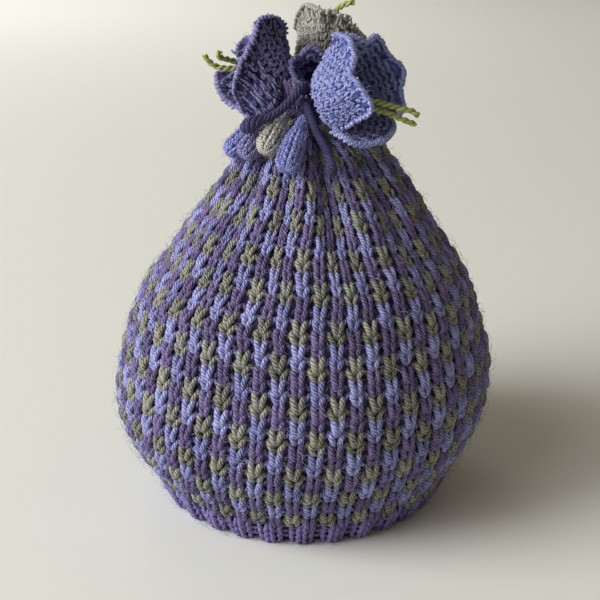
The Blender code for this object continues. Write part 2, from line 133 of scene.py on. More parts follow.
def raise_surface(tree, shader, strength, depth, height):
    """Small relief, up to depth millimetres, where the height says."""
    relief = {"Strength": strength, "Distance": depth * MM}
    bump = add_node(tree, "ShaderNodeBump", relief, {"Height": height})
    tree.links.new(bump.outputs[0], shader.inputs["Normal"])


def spun_wool(name, deep, light, ply_length=1.5, plies=5.0):
    """Spun wool: matt, with a soft sheen of stray fibres. Its plies show as slanted lines round the yarn,
    with painted shade in their grooves and a painted highlight on their crests, and the dye takes
    unevenly, so the colour wanders from stitch to stitch."""
    surface = {"Roughness": 0.88, "IOR": 1.55, "Specular IOR Level": 0.25}
    sheen = {"Sheen Weight": 0.3, "Sheen Roughness": 0.45, "Sheen Tint": linear(light)}
    material, tree, shader = new_material(name, surface | sheen)
    yarn = add_node(tree, "ShaderNodeUVMap", {"uv_map": "yarn"}).outputs[0]
    tone = add_node(tree, "ShaderNodeAttribute", {"attribute_name": "tone"}).outputs["Fac"]
    # yarn coordinates: millimetres along the strand, turns round it. The plies lie S-wise round it.
    slant = (1.0 / ply_length, -plies, 0.0)
    across = add_node(tree, "ShaderNodeVectorMath", {"operation": "DOT_PRODUCT", 1: slant}, {0: yarn})
    noise = {"noise_dimensions": "4D", "Scale": 0.7}
    wander = add_node(tree, "ShaderNodeTexNoise", noise, {"Vector": yarn, "W": tone})
    sources = {0: wander.outputs["Fac"], 2: across.outputs["Value"]}
    turned = arithmetic(tree, "MULTIPLY_ADD", {1: 1.1}, sources)
    phase = arithmetic(tree, "MULTIPLY", {1: math.pi}, {0: turned})
    # the plies' wave: painted shade in the grooves between plies, painted highlight on their crests
    ply = arithmetic(tree, "ABSOLUTE", {}, {0: arithmetic(tree, "SINE", {}, {0: phase})})
    # fibres lie along the plies: four or five show side by side on each
    along = add_node(tree, "ShaderNodeSeparateXYZ", {}, {0: yarn}).outputs[0]
    slow = arithmetic(tree, "MULTIPLY", {1: 0.45}, {0: along})
    quick = arithmetic(tree, "MULTIPLY", {1: 3.2}, {0: turned})
    lay = add_node(tree, "ShaderNodeCombineXYZ", {}, {0: slow, 1: quick}).outputs[0]
    noise = {"noise_dimensions": "4D", "Scale": 1.0, "Detail": 2.0}
    fibres = add_node(tree, "ShaderNodeTexNoise", noise, {"Vector": lay, "W": tone}).outputs["Fac"]
    place = add_node(tree, "ShaderNodeNewGeometry").outputs["Position"]
    # uneven dye, in patches of about 4 mm
    noise = {"Scale": 260.0, "Detail": 3.0}
    dye = add_node(tree, "ShaderNodeTexNoise", noise, {"Vector": place}).outputs["Fac"]
    # how much of the shade comes from the plies (painted shade in their grooves, painted highlight on
    # their crests), their fibres, the dye and the strand's own tone
    shade = None
    for source, weight in ((ply, 0.32), (fibres, 0.95), (dye, 0.34), (tone, 0.24)):
        part = arithmetic(tree, "MULTIPLY", {1: weight}, {0: source})
        shade = part if shade is None else arithmetic(tree, "ADD", {}, {0: shade, 1: part})
    share = add_node(tree, "ShaderNodeMapRange", {"From Min": 0.52, "From Max": 1.30}, {"Value": shade})
    colour_between(tree, shader, deep, light, share.outputs[0])
    height = arithmetic(tree, "MULTIPLY_ADD", {1: 0.4}, {0: fibres, 2: ply})
    raise_surface(tree, shader, 0.9, 0.4, height)
    return material


def unit(vectors):
    return vectors / np.maximum(np.linalg.norm(vectors, axis=-1, keepdims=True), 1e-9)


def distance_along(points):
    """How far along its path each point lies, for one path or many."""
    steps = np.linalg.norm(np.diff(points, axis=-2), axis=-1)
    return np.concatenate([np.zeros((*steps.shape[:-1], 1)), np.cumsum(steps, axis=-1)], axis=-1)


def smooth_route(route, count):
    """Evenly spaced points on a smooth curve through the route's own points."""
    points = np.array(route, float)
    ends = np.vstack([2 * points[0] - points[1], points, 2 * points[-1] - points[-2]])
    t = np.linspace(0.0, 1.0, 24, endpoint=False)[:, None]
    runs = []
    for before, start, stop, after in zip(ends, ends[1:], ends[2:], ends[3:]):
        square = (2 * before - 5 * start + 4 * stop - after) * t**2
        cube = (3 * start - before - 3 * stop + after) * t**3
        runs.append(0.5 * (2 * start + (stop - before) * t + square + cube))
    fine = np.vstack([*runs, points[-1:]])
    along = distance_along(fine)
    at = np.linspace(0.0, along[-1], count)
    return np.stack([np.interp(at, along, fine[:, k]) for k in range(3)], axis=1)


def sweep(paths, outward, radii, sides, tones):
    """Closed strands along many paths of as many points each. outward is where a strand's upper side
    faces, and radii its half thickness at each point."""
    paths, radii = np.asarray(paths, float), np.asarray(radii, float)
    count, points = paths.shape[:2]
    ahead = unit(np.gradient(paths, axis=1))
    side = unit(np.cross(ahead, np.broadcast_to(outward, paths.shape)))
    upper = np.cross(side, ahead)
    turn = math.tau * np.arange(sides) / sides
    ring = np.cos(turn)[:, None] * side[:, :, None] + np.sin(turn)[:, None] * upper[:, :, None]
    verts = paths[:, :, None] + radii[:, :, None, None] * ring
    along = distance_along(paths)
    index = np.arange(count * points * sides).reshape(count, points, sides)
    after = np.roll(index, -1, axis=2)
    quads = np.stack([index[:, :-1], after[:, :-1], after[:, 1:], index[:, 1:]], axis=-1)
    first, last = index[:, 0, ::-1], index[:, -1]
    around = np.broadcast_to(np.arange(sides) / sides, (count, points - 1, sides))
    low = np.broadcast_to(along[:, :-1, None], around.shape)
    high = np.broadcast_to(along[:, 1:, None], around.shape)
    beyond = around + 1.0 / sides
    quad_uv = np.stack([low, around, low, beyond, high, beyond, high, around], axis=-1)
    return {
        "verts": verts.reshape(-1, 3),
        "quads": quads.reshape(-1, 4),
        "caps": np.concatenate([first, last]),
        "quad_uv": quad_uv.reshape(-1, 2),
        "cap_uv": np.zeros((2 * count * sides, 2)),
        "tone": np.repeat(np.asarray(tones, float), points * sides),
    }


def riding_object(name, mesh):
    """A mesh as an object that rides with the cosy."""
    piece = bpy.data.objects.new(name, mesh)
    bpy.context.collection.objects.link(piece)
    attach(piece, "root")
    return piece


def join_strands(name, sweeps, material):
    """One object of all the strands in these sweeps, with its yarn coordinates and its tones."""
    start, loops, sizes, uv = 0, [], [], []
    for piece in sweeps:
        for faces, spots in ((piece["quads"], piece["quad_uv"]), (piece["caps"], piece["cap_uv"])):
            loops.append(faces.ravel() + start)
            sizes.append(np.full(len(faces), faces.shape[1]))
            uv.append(spots)
        start += len(piece["verts"])
    sizes, loops = np.concatenate(sizes), np.concatenate(loops)
    verts = np.concatenate([piece["verts"] for piece in sweeps]) * MM
    tones = np.concatenate([piece["tone"] for piece in sweeps])
    mesh = bpy.data.meshes.new(name)
    mesh.vertices.add(start)
    mesh.vertices.foreach_set("co", verts.astype(np.float32).ravel())
    mesh.loops.add(len(loops))
    mesh.loops.foreach_set("vertex_index", loops.astype(np.int32))
    mesh.polygons.add(len(sizes))
    mesh.polygons.foreach_set("loop_start", (np.cumsum(sizes) - sizes).astype(np.int32))
    mesh.update(calc_edges=True)
    layer = mesh.uv_layers.new(name="yarn")
    layer.data.foreach_set("uv", np.concatenate(uv).astype(np.float32).ravel())
    tone = mesh.attributes.new("tone", "FLOAT", "POINT")
    tone.data.foreach_set("value", tones.astype(np.float32))
    mesh.shade_smooth()
    mesh.materials.append(material)
    return riding_object(name, mesh)


def twist_plies(line, plies, lay_radius, ply_radius, turn_length, sides=6):
    """Plies laid round a centre line, as a sweep. lay_radius is how far each lies from it."""
    ahead = unit(np.gradient(line, axis=0))
    side = unit(np.cross(ahead, (0.13, 0.21, 0.97)))
    upper = np.cross(side, ahead)
    along = distance_along(line)
    paths, faces = [], []
    for ply in range(plies):
        turn = math.tau * (ply / plies + along / turn_length)
        away = np.cos(turn)[:, None] * side + np.sin(turn)[:, None] * upper
        paths.append(line + away * np.reshape(lay_radius, (-1, 1)))
        faces.append(away)
    radii = np.broadcast_to(ply_radius, (plies, len(line)))
    return sweep(np.array(paths), np.array(faces), radii, sides, np.linspace(0.3, 0.7, plies))


lime_wool = spun_wool("lime_twisted_wool", "#66732c", "#d2da8a", ply_length=1.3)
for name, route in STAMENS.items():
    line = smooth_route(route, STAMEN_POINTS)
    share = np.linspace(0.0, 1.0, len(line))
    blunt = np.minimum(1.0, np.sqrt(0.3 + (1.0 - share) * 30.0))  # the cut end is rounded off
    thick = STAMEN_PLY * STAMEN_THICKNESS * blunt
    twisted = twist_plies(line, 2, STAMEN_LAY * STAMEN_THICKNESS, thick, STAMEN_TWIST, 8)
    stamen = join_strands(name + "_cord", [twisted], lime_wool)
    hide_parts(name)

# The tie is a crocheted purple cord, drawn round the gathered neck and knotted in front. One loose end
# hangs to the left and is finished with a knot, the other hangs down and ends in a small bobble.
TIE_THICKNESS = 4.2
TIE_LOOP_RADIUS = 12.8
TIE_LOOP_HEIGHT = 190.0
TIE_PLIES = 5
TIE_PLY = 0.88
TIE_TWIST = 11.0
TIE_POINTS = 90
TIE_LOOP_POINTS = 120
# Each end's route, and its thickness, as a share, at shares of its length
TIE_ENDS = {
    "tie_end_left": (
        (
            (0.6, -9.0, 197.6), (0.8, -13.0, 202.4), (-1.0, -17.0, 202.2), (-4.6, -20.6, 198.4),
            (-10.7, -24.0, 193.2), (-16.0, -26.0, 190.6), (-21.9, -27.0, 189.0), (-26.6, -26.6, 185.2),
        ),
        ((0.0, 1.0), (0.76, 1.0), (0.84, 1.7), (0.92, 2.0), (0.975, 1.6), (1.0, 0.6)),
    ),
    "tie_end_right": (
        (
            (-1.6, -11.6, 195.0), (-0.4, -16.2, 196.0), (2.4, -20.4, 193.2), (4.4, -23.0, 188.0),
            (7.0, -27.0, 182.6), (11.0, -33.6, 176.2), (13.0, -40.4, 168.4),
        ),
        ((0.0, 1.0), (0.8, 0.95), (0.88, 1.3), (0.94, 1.5), (0.98, 1.25), (1.0, 0.6)),
    ),
}


def strand(path, outward, radii, sides, tone):
    """A sweep of one strand."""
    return sweep(path[None], outward[None], radii[None], sides, [tone])


def crocheted_cord(line, swell):
    """Plies round a cord whose thickness swells by a share at each point, over a plain core. The plies
    swell less than the cord does."""
    lay = (0.5 * TIE_THICKNESS - TIE_PLY) * swell
    ply = TIE_PLY * (0.6 + 0.4 * swell)
    upper = unit(np.cross(np.gradient(line, axis=0), (0.1, 0.2, 0.9)))
    return [strand(line, upper, lay, 8, 0.2), twist_plies(line, TIE_PLIES, lay, ply, TIE_TWIST)]


purple_wool = spun_wool("purple_crochet_wool", "#110e25", "#595482")
for name, (route, shape) in TIE_ENDS.items():
    line = smooth_route(route, TIE_POINTS)
    shape = np.array(shape)
    swell = np.interp(np.linspace(0.0, 1.0, len(line)), shape[:, 0], shape[:, 1])
    piece = join_strands(name + "_cord", crocheted_cord(line, swell), purple_wool)
    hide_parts(name)

turns = np.linspace(0.0, math.tau, TIE_LOOP_POINTS)
circle = np.stack([np.sin(turns), -np.cos(turns), np.zeros(TIE_LOOP_POINTS)], axis=1)
loop_line = TIE_LOOP_RADIUS * circle + (0.0, 0.0, TIE_LOOP_HEIGHT)
even = np.ones(TIE_LOOP_POINTS)
tie_loop = join_strands("tie_loop_cord", crocheted_cord(loop_line, even), purple_wool)
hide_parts("tie_loop")

# The body is knitted in thick slipped stitches: two panels, joined under the slits and above them, and
# drawn in at the neck. Under the stitches lies the back of the cloth, coloured dark between the columns
# as painted shade.
PANEL_COLUMNS = 30
LINES = 4  # lines of the cloth's grid for each column
CLOTH = 5.0
CLOTH_TOP = 194.0
HEM_TOP = 12.0
FULL_PITCH = 8.6  # width of a column at the widest part
LINING_TOP = 174
CROWN_OUTSIDE, CROWN_INSIDE = 191.0, 176.0
SPOUT_SLIT = (18.0, 106.0, 14.0)  # bottom, top, half width
HANDLE_SLIT = (18.0, 106.0, 11.0)
SLIT_ROUNDNESS = 0.75

# height, radius on the spout side, radius on the handle side
PROFILE = np.array(
    (
        (0.0, 67.0, 65.5), (6.0, 70.5, 69.0), (12.0, 73.0, 72.0), (18.0, 76.5, 74.5), (32.0, 85.5, 82.3),
        (46.0, 90.1, 88.0), (60.0, 90.5, 90.0), (76.0, 87.6, 89.5), (92.0, 82.2, 84.6),
        (99.0, 79.1, 82.4), (106.0, 75.4, 79.6), (120.0, 64.5, 72.0), (134.0, 55.6, 62.6),
        (147.0, 45.8, 55.2), (158.0, 37.6, 48.0), (167.0, 32.0, 41.6), (175.0, 27.3, 35.4),
        (182.0, 19.5, 23.0), (187.0, 10.5, 11.0), (190.0, 9.5, 9.5), (194.0, 10.5, 10.5),
    )
)
# The furrows drawn in by the tie: angle, half width in degrees, depth
FURROWS = (
    (17.0, 8.5, 11.0), (-10.0, 5.5, 4.5), (-38.0, 7.0, 7.0), (-64.0, 8.0, 5.0), (49.0, 7.0, 7.0),
    (76.0, 7.0, 5.0), (112.0, 8.5, 7.5), (146.0, 7.5, 6.0), (178.0, 8.5, 8.0), (-150.0, 7.0, 6.0),
    (-118.0, 8.5, 7.5), (-90.0, 6.0, 4.5),
)
FURROW_START, FURROW_FULL = 118.0, 166.0
FURROW_FADE, FURROW_END = 180.0, 190.0
CROWDING = 0.8  # how many more columns are folded away in a furrow than its width shows
CROWDING_START, CROWDING_FULL = 85.0, 165.0
# How far the cloth's back lies behind the wall: on a column, and how much deeper beside it
COLUMN_BACK, COLUMN_DEPTH = -1.3, 0.9
RIB_BACK, RIB_DEPTH = -0.7, 2.6
TIGHT_PITCH = 6.5  # columns narrower than this leave less of a gap
HEM_GROOVE, HEM_GROOVE_WIDTH = 1.2, 1.6


def ramp(value, low, high):
    share = np.clip((value - low) / (high - low), 0.0, 1.0)
    return share * share * (3.0 - 2.0 * share)


def smooth_table(table, column, at):
    """A table's column read smoothly between its rows."""
    keys, values = table[:, 0], table[:, column]
    slopes = np.gradient(values, keys)
    i = np.clip(np.searchsorted(keys, at) - 1, 0, len(keys) - 2)
    span = keys[i + 1] - keys[i]
    t = np.clip((at - keys[i]) / span, 0.0, 1.0)
    rise = (1 + 2 * t) * (1 - t) ** 2 * values[i] + t * t * (3 - 2 * t) * values[i + 1]
    return rise + span * (t * (1 - t) ** 2 * slopes[i] - t * t * (1 - t) * slopes[i + 1])


def furrow_sum(angle, weights):
    """The furrows' shares at this angle, each times its own weight."""
    total = 0.0
    for (centre, half_width, _), weight in zip(FURROWS, weights):
        away = (angle - centre + 180.0) % 360.0 - 180.0
        total = total + weight * np.exp(-((away / half_width) ** 2))
    return total


def wall_radius(angle, height):
    """The cloth's radius at an angle in degrees from the front, before any stitch stands out of it."""
    share = 0.5 * (1.0 + np.sin(np.radians(angle)))
    spout_side = smooth_table(PROFILE, 1, height)
    radius = spout_side + (smooth_table(PROFILE, 2, height) - spout_side) * share
    drawn = ramp(height, FURROW_START, FURROW_FULL) * (1.0 - ramp(height, FURROW_FADE, FURROW_END))
    return radius - drawn * furrow_sum(angle, [depth for _, _, depth in FURROWS])


def slit_half_angle(slit, height):
    bottom, top, half_width = slit
    if not bottom < height < top:
        return 0.0
    share = math.sin(math.pi * (height - bottom) / (top - bottom)) ** SLIT_ROUNDNESS
    return math.degrees(math.asin(half_width * share / float(smooth_table(PROFILE, 1, height))))


def around(angle, radius, height):
    turn = np.radians(angle)
    return np.stack(np.broadcast_arrays(radius * np.sin(turn), -radius * np.cos(turn), height), axis=-1)


def cloth_angles(height):
    """The angles of the grid's lines at this height, front and back, at equal steps along the cloth.
    The columns crowd together where the tie folds them into a furrow."""
    spout, handle = slit_half_angle(SPOUT_SLIT, height), slit_half_angle(HANDLE_SLIT, height)
    folded = CROWDING * ramp(height, CROWDING_START, CROWDING_FULL)
    rows = []
    for first, last in ((-90.0 + spout, 90.0 - handle), (90.0 + handle, 270.0 - spout)):
        fine = np.linspace(first, last, 541)
        spots = around(fine, wall_radius(fine, height), height)
        crowded = 1.0 + furrow_sum((fine[1:] + fine[:-1]) / 2.0, [folded] * len(FURROWS))
        steps = np.linalg.norm(np.diff(spots, axis=0), axis=1) * crowded
        along = np.concatenate([[0.0], np.cumsum(steps)])
        rows.append(np.interp(np.linspace(0.0, along[-1], PANEL_COLUMNS * LINES + 1), along, fine))
    return rows


# The cloth's grid is panel, level and line. Its levels are 1 mm apart in height.
heights = np.arange(0.0, CLOTH_TOP + 0.5, 1.0)
levels = np.arange(len(heights), dtype=float)
line_angles = np.array([cloth_angles(height) for height in heights]).transpose(1, 0, 2)
cloth = around(line_angles, wall_radius(line_angles, heights[None, :, None]), heights[None, :, None])
cloth_out = unit(np.cross(np.gradient(cloth, axis=2), np.gradient(cloth, axis=1)))
# how wide one column is at each level and line
column_width = np.linalg.norm(np.gradient(cloth, axis=2), axis=3) * LINES


def on_cloth(panel, level, line, out):
    """Points at these levels and lines of a panel, lifted off it by out, and where it faces there."""
    level = np.clip(level, 0.0, cloth.shape[1] - 1.001)
    line = np.clip(line, 0.0, cloth.shape[2] - 1.001)
    i, j = level.astype(int), line.astype(int)
    up, right = (level - i)[..., None], (line - j)[..., None]

    def read(values):
        low = values[i, j] * (1 - right) + values[i, j + 1] * right
        return low * (1 - up) + (values[i + 1, j] * (1 - right) + values[i + 1, j + 1] * right) * up

    faces = unit(read(cloth_out[panel]))
    return read(cloth[panel]) + faces * np.asarray(out)[..., None], faces


def backing_relief(panel, level):
    """How far the backing lies behind the wall's radius, deepest between columns or hem ribs."""
    column = np.arange(PANEL_COLUMNS * LINES + 1) / LINES
    tight = np.minimum(1.0, column_width[panel, level] / TIGHT_PITCH)
    columns = COLUMN_BACK - COLUMN_DEPTH * tight * (0.5 + 0.5 * np.cos(math.tau * column))
    ribs = RIB_BACK - RIB_DEPTH * (0.5 + 0.5 * np.cos(math.pi * column))
    share = ramp(heights[level], HEM_TOP - 2.0, HEM_TOP + 2.0)
    groove = HEM_GROOVE * math.exp(-(((heights[level] - HEM_TOP) / HEM_GROOVE_WIDTH) ** 2))
    return ribs * (1.0 - share) + columns * share - groove


def backing_shell():
    """The cloth as one closed shell: fine outside, plain inside, open at the hem and the slits."""
    verts, faces = [], []

    def add_rows(level, rows):
        """Vertex numbers of a ring, front and back, sharing their ends where the slits are closed."""
        front = list(range(len(verts), len(verts) + len(rows[0])))
        verts.extend(rows[0])
        closed = slit_half_angle(HANDLE_SLIT, heights[level]) == 0.0
        kept = rows[1][1:-1] if closed else rows[1]
        inside = list(range(len(verts), len(verts) + len(kept)))
        verts.extend(kept)
        return [front, [front[-1], *inside, front[0]] if closed else inside]

    def bridge(low, high):
        for one, two in zip(low, high):
            for step in range(len(one) - 1):
                faces.append((one[step], one[step + 1], two[step + 1], two[step]))

    outer_levels = list(range(0, len(heights), 2))
    outer = []
    for level in outer_levels:
        flat = np.array([1.0, 1.0, 0.0 if level == 0 else 1.0])
        out = [backing_relief(panel, level)[:, None] for panel in range(2)]
        rows = [cloth[panel, level] + cloth_out[panel, level] * out[panel] * flat for panel in range(2)]
        outer.append(add_rows(level, rows))
    inner_levels = [level for level in outer_levels[::2] if level <= LINING_TOP]
    inner_levels += [] if inner_levels[-1] == LINING_TOP else [LINING_TOP]
    inner = []
    for level in inner_levels:
        rows = []
        for panel in range(2):
            angle, height = line_angles[panel, level, ::LINES], heights[level]
            below, above = max(0.0, height - 3.0), height + 3.0
            slope = (wall_radius(angle, above) - wall_radius(angle, below)) / (above - below)
            inset = CLOTH / np.hypot(1.0, slope)
            lift = 0.0 if level == 0 else 1.0
            rows.append(around(angle, wall_radius(angle, height) - inset, height + lift * inset * slope))
        inner.append(add_rows(level, rows))
    for low, high in zip(outer, outer[1:]):
        bridge(low, high)
    for low, high in zip(inner, inner[1:]):
        bridge([row[::-1] for row in low], [row[::-1] for row in high])
    for fine, coarse in zip(outer[0], inner[0]):
        for step in range(len(coarse) - 1):
            run = fine[step * LINES : (step + 1) * LINES + 1]
            faces.append((*run[::-1], coarse[step], coarse[step + 1]))
    # the slits' edges, from the outer side to the inner one
    slit_bottom, slit_top, _ = HANDLE_SLIT
    for n, level in enumerate(inner_levels[:-1]):
        if not slit_bottom - 2.0 <= heights[level] < slit_top + 2.0:
            continue
        for panel in range(2):
            for end in (0, -1):
                edge = [outer[2 * n + k][panel][end] for k in range(3)]
                face = [*edge, inner[n + 1][panel][end], inner[n][panel][end]]
                kept = [spot for i, spot in enumerate(face) if spot not in face[:i]]
                if slit_half_angle(HANDLE_SLIT, heights[level] + 2.0) > 0.0:
                    faces.append(kept if end == 0 else kept[::-1])
    # the crown, closed outside and inside
    for ring, crown, order in ((outer[-1], CROWN_OUTSIDE, 1), (inner[-1], CROWN_INSIDE, -1)):
        rim = ring[0] + ring[1][1:]
        verts.append((0.0, 0.0, crown))
        for one, two in zip(rim, rim[1:]):
            faces.append((one, two, len(verts) - 1)[::order])
    return verts, faces


def plain_object(name, parts, material):
    """One object of several closed meshes, each a list of points and a list of faces."""
    verts, faces = [], []
    for part_verts, part_faces in parts:
        faces.extend([tuple(len(verts) + corner for corner in face) for face in part_faces])
        verts.extend((np.asarray(part_verts) * MM).tolist())
    mesh = bpy.data.meshes.new(name)
    mesh.from_pydata(verts, [], faces)
    mesh.validate()
    mesh.shade_smooth()
    mesh.materials.append(material)
    return riding_object(name, mesh)


def backing_wool(name, deep, light):
    """The back of knitted wool, seen between the stitches and inside: short floats of every colour,
    darkened as painted shade.
    """
    surface = {"Roughness": 0.95, "IOR": 1.55, "Specular IOR Level": 0.15}
    material, tree, shader = new_material(name, surface)
    place = add_node(tree, "ShaderNodeNewGeometry").outputs["Position"]
    # floats about 2 mm long
    noise = {"Scale": 480.0, "Detail": 3.0}
    floats = add_node(tree, "ShaderNodeTexNoise", noise, {"Vector": place}).outputs["Fac"]
    share = add_node(tree, "ShaderNodeMapRange", {"From Min": 0.35, "From Max": 0.7}, {"Value": floats})
    colour_between(tree, shader, deep, light, share.outputs[0])
    raise_surface(tree, shader, 0.8, 0.6, floats)
    return material


# the backing's dark colours are partly the cloth's back and partly painted shade between the stitches
body_backing = backing_wool("knitted_wool_backing", "#241d36", "#6a5d8c")
backing = plain_object("knitted_backing", [backing_shell()], body_backing)
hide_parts("cosy_body")

# The stitches: in each column a long slipped stitch, whose two arms open upwards, and a knitted stitch
# under it, whose legs spread. They change from lavender to purple to warm grey down the column, and
# neighbouring columns are half a repeat apart.
BLOCKS = (("grey", 10.2), ("purple", 11.1), ("lavender", 11.1))  # colour and height, from the hem up
FULL_BLOCK = 11.0  # height of the block that the stitches below are drawn for
REPEAT = sum(height for _, height in BLOCKS)
ROW_TILT = 0.055  # the rows climb towards the spout
TILT_LEVEL = 60  # the level of the grid that the climb is read at
STITCH_BASE = -0.9
STITCH_TOP = 186.0
# how much of its height and thickness a stitch keeps where the columns are drawn in
LEAST_HEIGHT, LEAST_THICKNESS = 0.75, 0.68
LEAST_ACROSS = 0.35
# how uneven the hand's work is: rows up and down, arms out, down and across, the yarn's thickness
ROW_UNEVEN, LIFT_UNEVEN, DROP_UNEVEN, SWAY_UNEVEN = 0.25, 0.12, 0.3, 0.24
YARN_UNEVEN = (0.93, 1.07)
SHADE_UNEVEN = 0.12
# painted shade: the floats' tone is darkened because they lie deep in the furrow
FLOAT_PAINTED_SHADE = 0.25  # the floats lie deep, so they are darker than their stitch
# across from the column's middle, down from the top of the block, out of the cloth, half thickness
LONG_STITCH = np.array(
    (
        (2.15, -1.3, -1.1, 1.1), (2.2, 0.0, 0.35, 1.38), (1.85, 1.6, 1.15, 1.54), (1.35, 3.2, 1.5, 1.6),
        (0.95, 4.7, 1.4, 1.56), (0.7, 6.0, 0.9, 1.42), (0.55, 7.2, 0.0, 1.2), (0.5, 8.2, -1.3, 1.0),
    )
)
SHORT_STITCH = np.array(
    (
        (2.5, 4.6, -1.2, 0.95), (2.5, 5.8, -0.1, 1.18), (2.2, 7.1, 0.7, 1.35), (1.65, 8.4, 1.0, 1.4),
        (1.15, 9.6, 0.8, 1.32), (0.75, 10.8, 0.0, 1.12), (0.55, 11.8, -1.3, 0.95),
    )
)
# how far across each colour's arms lie: the purple ones hang nearly straight, the grey ones spread
LONG_ACROSS = {
    "lavender": LONG_STITCH[:, 0],
    "purple": np.array((1.90, 1.95, 1.75, 1.45, 1.15, 0.90, 0.75, 0.65)),
    "grey": LONG_STITCH[:, 0],
}
SHORT_ACROSS = {
    "lavender": SHORT_STITCH[:, 0],
    "purple": np.array((2.10, 2.15, 1.95, 1.60, 1.20, 0.85, 0.65)),
    "grey": np.array((3.05, 3.15, 2.80, 2.20, 1.50, 0.95, 0.65)),
}
# the float that crosses the furrow to the next column
FLOAT = np.array(
    (
        (2.4, 4.2, -1.6, 0.7), (3.3, 5.4, -0.7, 1.0), (4.3, 6.4, -0.4, 1.15), (5.3, 7.6, -0.7, 1.0),
        (6.2, 8.8, -1.6, 0.7),
    )
)
# the yarn's twist makes a stitch's left arm fuller than its right one
ARM_THICKNESS = {-1: 1.03, 1: 0.93}

wools = {
    "lavender": spun_wool("lavender_knitting_wool", "#33326c", "#adb1ea"),
    "purple": spun_wool("purple_knitting_wool", "#251c3c", "#8679aa"),
    "grey": spun_wool("grey_knitting_wool", "#2e2c25", "#a7a89c"),
}
rng = np.random.default_rng(68)
knitted = {(panel, colour): [] for panel in range(2) for colour in wools}


def lay_strand(panel, column, top, shape, mirror, scale):
    """A strand of this shape in a column: its path, where the cloth faces, and its half thickness."""
    middle = LINES * column + LINES // 2
    climbed = distance_along(cloth[panel, :, middle])
    level = np.interp(top - shape[:, 1] * scale, climbed, levels)
    width = np.interp(level, levels, column_width[panel, :, middle])
    drawn_in = np.minimum(1.0, width / FULL_PITCH)
    line = middle + mirror * shape[:, 0] * drawn_in / width * LINES
    out = STITCH_BASE + shape[:, 2] * np.maximum(LEAST_HEIGHT, drawn_in)
    spots, faces = on_cloth(panel, level, line, out + rng.normal(0.0, LIFT_UNEVEN))
    radii = shape[:, 3] * np.maximum(LEAST_THICKNESS, drawn_in) * rng.uniform(*YARN_UNEVEN)
    return spots, faces, radii


for panel in range(2):
    for column in range(PANEL_COLUMNS):
        line = cloth[panel, :, LINES * column + LINES // 2]
        hem_top, neck = np.interp((HEM_TOP, STITCH_TOP), heights, distance_along(line))
        start = hem_top + 0.5 - REPEAT - ROW_TILT * line[TILT_LEVEL, 0]
        start += (0.5 * REPEAT + 1.0) * ((column + panel) % 2)
        while start < neck:
            block_top = start
            for colour, height in BLOCKS:
                block_top += height
                if block_top < hem_top + 4.0 or block_top > neck + 3.0:
                    continue
                top = block_top + rng.normal(0.0, ROW_UNEVEN)
                stretch = height / FULL_BLOCK
                tone = rng.uniform(0.0, 1.0)
                for shape, spread in ((LONG_STITCH, LONG_ACROSS), (SHORT_STITCH, SHORT_ACROSS)):
                    for mirror in (-1, 1):
                        arm = shape.copy()
                        sway = np.linspace(*rng.normal(0.0, SWAY_UNEVEN, 2), len(arm))
                        arm[:, 0] = np.maximum(LEAST_ACROSS, spread[colour] + sway)
                        arm[:, 1] += rng.normal(0.0, DROP_UNEVEN)
                        arm[:, 3] *= ARM_THICKNESS[mirror]
                        laid = lay_strand(panel, column, top, arm, mirror, stretch)
                        shade = np.clip(tone + rng.normal(0.0, SHADE_UNEVEN), 0.0, 1.0)
                        knitted[panel, colour].append(strand(*laid, 6, shade))
                for mirror in (-1, 1):
                    if 0 <= column + mirror < PANEL_COLUMNS:
                        laid = lay_strand(panel, column, top, FLOAT, mirror, stretch)
                        knitted[panel, colour].append(strand(*laid, 5, FLOAT_PAINTED_SHADE * tone))
            start += REPEAT

for (panel, colour), sweeps in knitted.items():
    side_name = ("front", "back")[panel]
    piece = join_strands(f"stitches_{colour}_{side_name}", sweeps, wools[colour])

# The hem is a rib in purple wool, knitted in one with the body: two plain stitches side by side, then a
# furrow crossed by short bars.
HEM_ROWS = 3
HEM_ROW = 3.6
HEM_FOOT = 1.6
HEM_LEAN = 0.9  # how far the two columns of a rib lean on each other at its crest
HEM_FURROW, HEM_CREST = -2.3, 2.1  # how far out the furrow lies, and how much further the crest
HEM_SPREAD = 0.72
HEM_V = np.array(
    (
        (2.9, -0.9, -0.6, 0.85), (2.9, 0.3, 0.7, 1.05), (2.4, 1.6, 1.3, 1.15), (1.7, 2.9, 1.4, 1.15),
        (1.1, 4.1, 0.9, 1.05), (0.7, 5.2, -0.4, 0.85),
    )
)
HEM_BAR = np.array(
    (
        (-2.4, 0.4, -2.6, 0.7), (-1.4, 0.0, -1.5, 0.85), (0.0, -0.2, -1.1, 0.9), (1.4, 0.0, -1.5, 0.85),
        (2.4, 0.4, -2.6, 0.7),
    )
)
hem_wool = spun_wool("purple_rib_wool", "#3c3364", "#9a8cc8")
hem_strands = []
